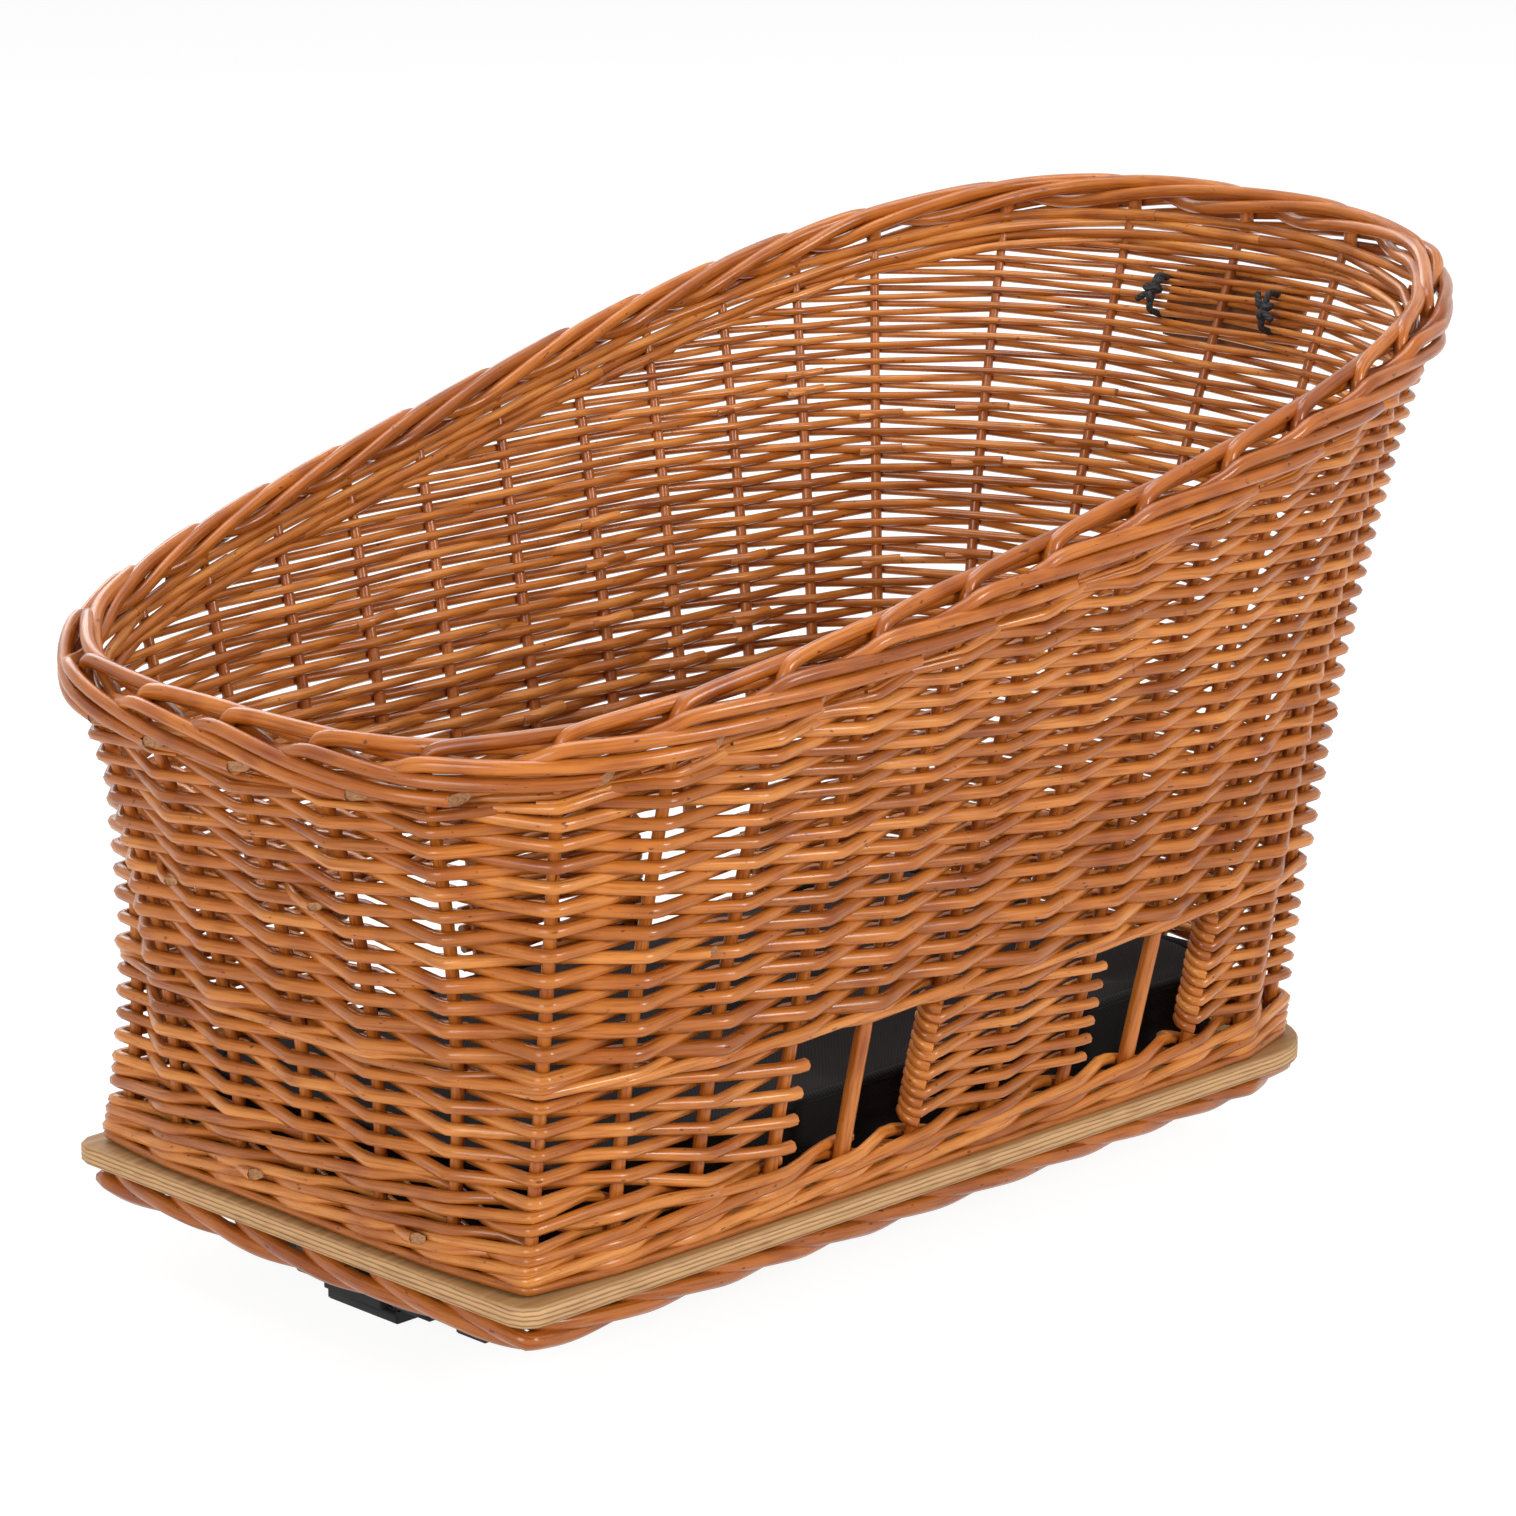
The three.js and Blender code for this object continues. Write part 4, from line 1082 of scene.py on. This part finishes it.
def thread(name, dark, light, scale):
    """Twisted thread: slanting bands along each run."""
    material, shader = new_material(name)
    wave = {"Scale": scale, "Distortion": 1.5, "Detail": 1.0, "Vector": straight_place(shader)}
    bands = node(shader, "ShaderNodeTexWave", wave, bands_direction="DIAGONAL").outputs["Fac"]
    colour = colour_ramp(bands, (0.2, dark), (0.8, light))
    fill(shader, {"Base Color": colour, "Roughness": 0.8, "Normal": bump(bands, 0.6, 0.0005)})
    return material


def on_label(places):
    """Points from places across, up and out of the label's middle."""
    middle = node_box("back_label")[2]
    half = LABEL_SIZE[1] / 2
    heights = np.array([middle[2] - half, middle[2] + half])
    foot, head = wall(np.full(2, float(HOOD_MIDDLE)), heights, 0)
    up = (head - foot) / np.linalg.norm(head - foot)
    across = np.array([0.0, 1, 0])
    return middle + places @ np.array([across, up, np.cross(across, up)])


def make_label():
    outline = rounded_outline(np.array(LABEL_SIZE) / 2, (LABEL_CORNER,) * 2, 6)
    outline = even_outline(outline, 2.0)
    normals = outline_normals(outline)
    depth, ease = LABEL_THICKNESS / 2, LABEL_EDGE_ROUND
    levels = (
        (3, -depth), (ease, -depth), (0, ease - depth), (0, depth - ease), (ease, depth),
        (3, depth - LABEL_DIP),
    )
    rings = [on_label(at_height(outline - inset * normals, height)) for inset, height in levels]
    ring_piece("leather_label", rings, leather(), "label_leather", "back_label")
    seam = even_outline(outline - STITCH_INSET * normals, STITCH_LENGTH + STITCH_GAP)
    lift = depth + STITCH_RISE * np.array([-1, 0.6, 1, 0.6, -1])
    bundle = Bundle()
    for start, end in zip(seam, np.roll(seam, -1, 0)):
        stop = start + (end - start) * STITCH_LENGTH / (STITCH_LENGTH + STITCH_GAP)
        run = np.linspace(start, stop, len(lift))
        bundle.rod(on_label(np.column_stack([run, lift])), STITCH_RADIUS, 0.5, sides=6)
    stitches = thread("stitching", (0.16, 0.10, 0.055), (0.42, 0.31, 0.19), 400.0)
    bundle.piece("label_stitching", (stitches, stitches), "label_leather")


# Each lace: round the label's front, through the wall and into a knot on the inside with two tails
LACE_PATH = (
    (6.5, -4.5, -12.2), (3.5, -2.5, -12.4), (0.5, -0.5, -11.4), (0, 4, -10.8), (0, 7.6, -9.6), (0, 8.2, -5),
    (0, 8, 2), (0, 7.8, 8), (0, 6.6, 10.9), (0, 0, 11.3), (0, -6.6, 10.9), (0, -7.8, 8), (0, -8, 2),
    (0, -8.2, -5), (0, -7.6, -9.6), (0, -4, -10.8), (-0.5, 0.5, -11.4), (-2.5, 3, -12.6),
    (-4.5, 6.5, -12.4),
)
LACE_MIDDLE = 7.1 + LABEL_THICKNESS / 2 + 1
KNOT_RADIUS = 2.2
KNOT_DEPTH = 11.2


def make_laces():
    cord = thread("black_lace", (0.006, 0.006, 0.007), (0.028, 0.028, 0.031), 260.0)
    turn = np.linspace(0, 2 * math.pi, 48, endpoint=False)
    knot = KNOT_RADIUS * np.column_stack([
        np.sin(turn) + 0.8 * np.sin(2 * turn),
        np.cos(turn) - 0.8 * np.cos(2 * turn),
        -0.6 * np.sin(3 * turn),
    ])
    knot[:, 2] -= KNOT_DEPTH
    for name in ("label_tie_left", "label_tie_right"):
        side = node_box(name)[2][1]
        mirror = (1 if side > 0 else -1, 1, 1)
        start = (side, 0, -LACE_MIDDLE)
        bundle = Bundle()
        bundle.rod(on_label(smooth_path(LACE_PATH, 5) * mirror + start), LACE_RADIUS, 0.5, sides=8)
        bundle.rod(on_label(knot * mirror + start), LACE_RADIUS, 0.5, sides=8, closed=True)
        bundle.piece(f"knotted_{name}", (cord, cord), "lace", name)


# Carrier adapter: the frame's own shapes with rounded edges, screws and a spring
MOULDED_ROUND = 0.8
LATCH_ROUND = 0.6


def black_plastic():
    material, shader = new_material("black_plastic")
    place = object_place(shader)
    scuffs = noise(place, 60, 4.0, stretch=(0.25, 1, 1))
    colour = colour_ramp(scuffs, (0.35, (0.004, 0.004, 0.005)), (0.75, (0.012, 0.012, 0.013)))
    fill(shader, {
        "Base Color": colour,
        "Roughness": map_range(scuffs, 0.3, 0.7, 0.5, 0.66),
        "Specular IOR Level": 0.3,
        "Normal": bump(noise(place, 1600), 0.25, 0.0003),
    })
    return material


def zinc():
    material, shader = new_material("zinc_steel")
    bloom = noise(object_place(shader), 300, 4.0)
    colour = colour_ramp(bloom, (0.3, (0.42, 0.42, 0.42)), (0.7, (0.62, 0.62, 0.60)))
    rough = map_range(bloom, 0.3, 0.7, 0.28, 0.45)
    fill(shader, {"Base Color": colour, "Roughness": rough, "Metallic": 1.0})
    return material


def moulded_copy(name, node_name, plastic, width, body="basket"):
    """A plastic copy of a node of the frame with small rounds along its edges."""
    work = bmesh.new()
    work.from_mesh(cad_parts[node_name].data)
    bmesh.ops.remove_doubles(work, verts=work.verts, dist=1e-5)
    bmesh.ops.dissolve_limit(
        work, angle_limit=math.radians(2), verts=work.verts, edges=work.edges, delimit={"NORMAL"})
    sharp = [e for e in work.edges if len(e.link_faces) == 2 and e.calc_face_angle() > math.radians(35)]
    bmesh.ops.bevel(work, geom=sharp, offset=width * MM, segments=2, affect="EDGES", clamp_overlap=True)
    mesh = bpy.data.meshes.new(name)
    work.to_mesh(mesh)
    work.free()
    mesh.shade_smooth()
    mesh.set_sharp_from_angle(angle=math.radians(40))
    piece(name, mesh, (plastic,), "black_plastic", node_name, body=body)


BOLT_SIDES = 24
BOLT_TIP, BOLT_SHANK, BOLT_HEAD = 2.4, 3, 7
BOLT_HEAD_HEIGHT = 3
SOCKET_HALF_WIDTH = 2.5
SOCKET_DEPTH = 2


def make_bolt(name, material):
    """A screw with a low domed head and a hexagon socket."""
    low, high, middle = node_box(name)
    angles = np.linspace(0, 2 * math.pi, BOLT_SIDES, endpoint=False)
    round_ring = np.column_stack([np.cos(angles), np.sin(angles)])
    corner = (angles + math.pi / 6) % (math.pi / 3) - math.pi / 6
    hexagon = round_ring / np.cos(corner)[:, None]
    under = high[2] - BOLT_HEAD_HEIGHT
    levels = (
        (BOLT_TIP, low[2]), (BOLT_SHANK, low[2] + 0.8), (BOLT_SHANK, under), (BOLT_HEAD, under),
        (BOLT_HEAD, high[2] - 1.2), (BOLT_HEAD - 0.8, high[2] - 0.35), (BOLT_HEAD - 2, high[2]),
    )
    socket = (
        (SOCKET_HALF_WIDTH + 0.3, high[2]), (SOCKET_HALF_WIDTH, high[2] - 0.4),
        (SOCKET_HALF_WIDTH, high[2] - SOCKET_DEPTH),
    )
    rings = [at_height(round_ring * radius + middle[:2], z) for radius, z in levels]
    rings += [at_height(hexagon * radius + middle[:2], z) for radius, z in socket]
    ring_piece(f"socket_{name}", rings, material, "steel", name)


SPRING_TURNS = 12
SPRING_WIRE = 0.45


def make_spring(material):
    low, high, middle = node_box("latch_spring")
    coil = (high[2] - low[2]) / 2 - SPRING_WIRE
    turn = np.linspace(0, SPRING_TURNS * 2 * math.pi, SPRING_TURNS * 16)
    x = np.linspace(low[0] + SPRING_WIRE, high[0] - SPRING_WIRE, len(turn))
    points = np.column_stack([x, middle[1] + coil * np.cos(turn), middle[2] + coil * np.sin(turn)])
    bundle = Bundle()
    bundle.rod(points, SPRING_WIRE, 0.5, sides=6)
    bundle.piece("coiled_latch_spring", (material, material), "steel", "latch_spring")


def make_adapter():
    plastic = black_plastic()
    steel = zinc()
    moulded_copy("moulded_plate", "adapter_plate", plastic, MOULDED_ROUND)
    moulded_copy("moulded_keel", "adapter_keel", plastic, MOULDED_ROUND)
    moulded_copy("moulded_latch", "release_latch", plastic, LATCH_ROUND, body="latch")
    for number in range(1, 5):
        moulded_copy(f"moulded_spacer_{number}", f"spacer_{number}", plastic, MOULDED_ROUND)
        make_bolt(f"bolt_{number}", steel)
    make_spring(steel)


# Camera, lights and floor, in metres; each light has its place, its size and its watts
WORLD_STRENGTH = 0.21
FLOOR_HALF_WIDTH = 12
FLOOR_HEIGHT = -0.0005
LIGHTS = {
    "key": ((0.35, -2.7, 1.35), (0.7, 0.9), 45),
    "front_fill": ((-2.8, -0.8, 1.1), (1.4, 1.4), 46),
    "overhead": ((0.2, 0.4, 2.8), (1.8, 1.8), 50),
    "back": ((1.0, 2.5, 1.6), (1.4, 1.4), 20),
}


def make_camera():
    azimuth, elevation = math.radians(CAMERA_AZIMUTH), math.radians(CAMERA_ELEVATION)
    back = Vector((
        math.sin(azimuth) * math.cos(elevation),
        -math.cos(azimuth) * math.cos(elevation),
        math.sin(elevation),
    ))
    target = Vector(CAMERA_TARGET) * MM
    data = bpy.data.cameras.new("photo_camera")
    data.sensor_width = SENSOR_WIDTH
    data.lens = SENSOR_WIDTH * CAMERA_FOCAL_PX / PHOTO_SIDE_PX
    camera = add_object("photo_camera", data)
    camera.location = target + back * CAMERA_DISTANCE * MM
    camera.rotation_euler = (-back).to_track_quat("-Z", "Y").to_euler()
    bpy.context.scene.camera = camera


def area_light(name, place, size, power):
    data = bpy.data.lights.new(name, "AREA")
    data.shape = "RECTANGLE"
    data.size, data.size_y = size
    data.energy = power
    light = add_object(name, data)
    light.location = place
    aim = Vector(CAMERA_TARGET) * MM - light.location
    light.rotation_euler = aim.to_track_quat("-Z", "Y").to_euler()


def seen_ray(shader):
    """1 for what the camera sees straight, in a reflection or through a clear piece."""
    rays = node(shader, "ShaderNodeLightPath").outputs
    seen = rays["Is Camera Ray"]
    for kind in ("Is Glossy Ray", "Is Transmission Ray"):
        seen = calculate("MAXIMUM", seen, rays[kind])
    return seen


def make_world():
    """Even white light, and a white background to the camera and to reflections."""
    world = bpy.data.worlds.new("studio")
    bpy.context.scene.world = world
    world.use_nodes = True
    background = world.node_tree.nodes["Background"]
    strength = map_range(seen_ray(background), 0, 1, WORLD_STRENGTH, 1)
    fill(background, {"Color": (1, 1, 1, 1), "Strength": strength})


def make_floor():
    """A pale floor that lights the object plainly, and looks white but for the shadow on it."""
    mesh = bpy.data.meshes.new("floor")
    half = FLOOR_HALF_WIDTH
    corners = [(-half, -half, 0), (half, -half, 0), (half, half, 0), (-half, half, 0)]
    mesh.from_pydata(corners, [], [(0, 1, 2, 3)])
    floor = add_object("floor", mesh)
    floor.location.z = FLOOR_HEIGHT
    material, shader = new_material("pale_floor")
    fill(shader, {"Base Color": (0.8, 0.8, 0.8, 1), "Roughness": 0.9})
    glow = node(shader, "ShaderNodeEmission", {"Strength": 0.9}).outputs[0]
    shade = node(shader, "ShaderNodeBsdfDiffuse", {"Color": (0.25, 0.25, 0.25, 1)}).outputs[0]
    both = node(shader, "ShaderNodeAddShader", {0: glow, 1: shade}).outputs[0]
    mix = node(shader, "ShaderNodeMixShader", {0: seen_ray(shader), 1: shader.outputs[0], 2: both})
    fill(material.node_tree.nodes["Material Output"], {"Surface": mix.outputs[0]})
    mesh.materials.append(material)


make_board()
make_cushion()
make_label()
make_laces()
make_adapter()
make_stakes()
make_foot_border()
make_wales()
make_panels()
make_upper_weave()
make_top_border()
bpy.context.scene.view_settings.view_transform = "Standard"
make_camera()
make_world()
make_floor()
for light_name, (light_place, light_size, watts) in LIGHTS.items():
    area_light(light_name, light_place, light_size, watts)
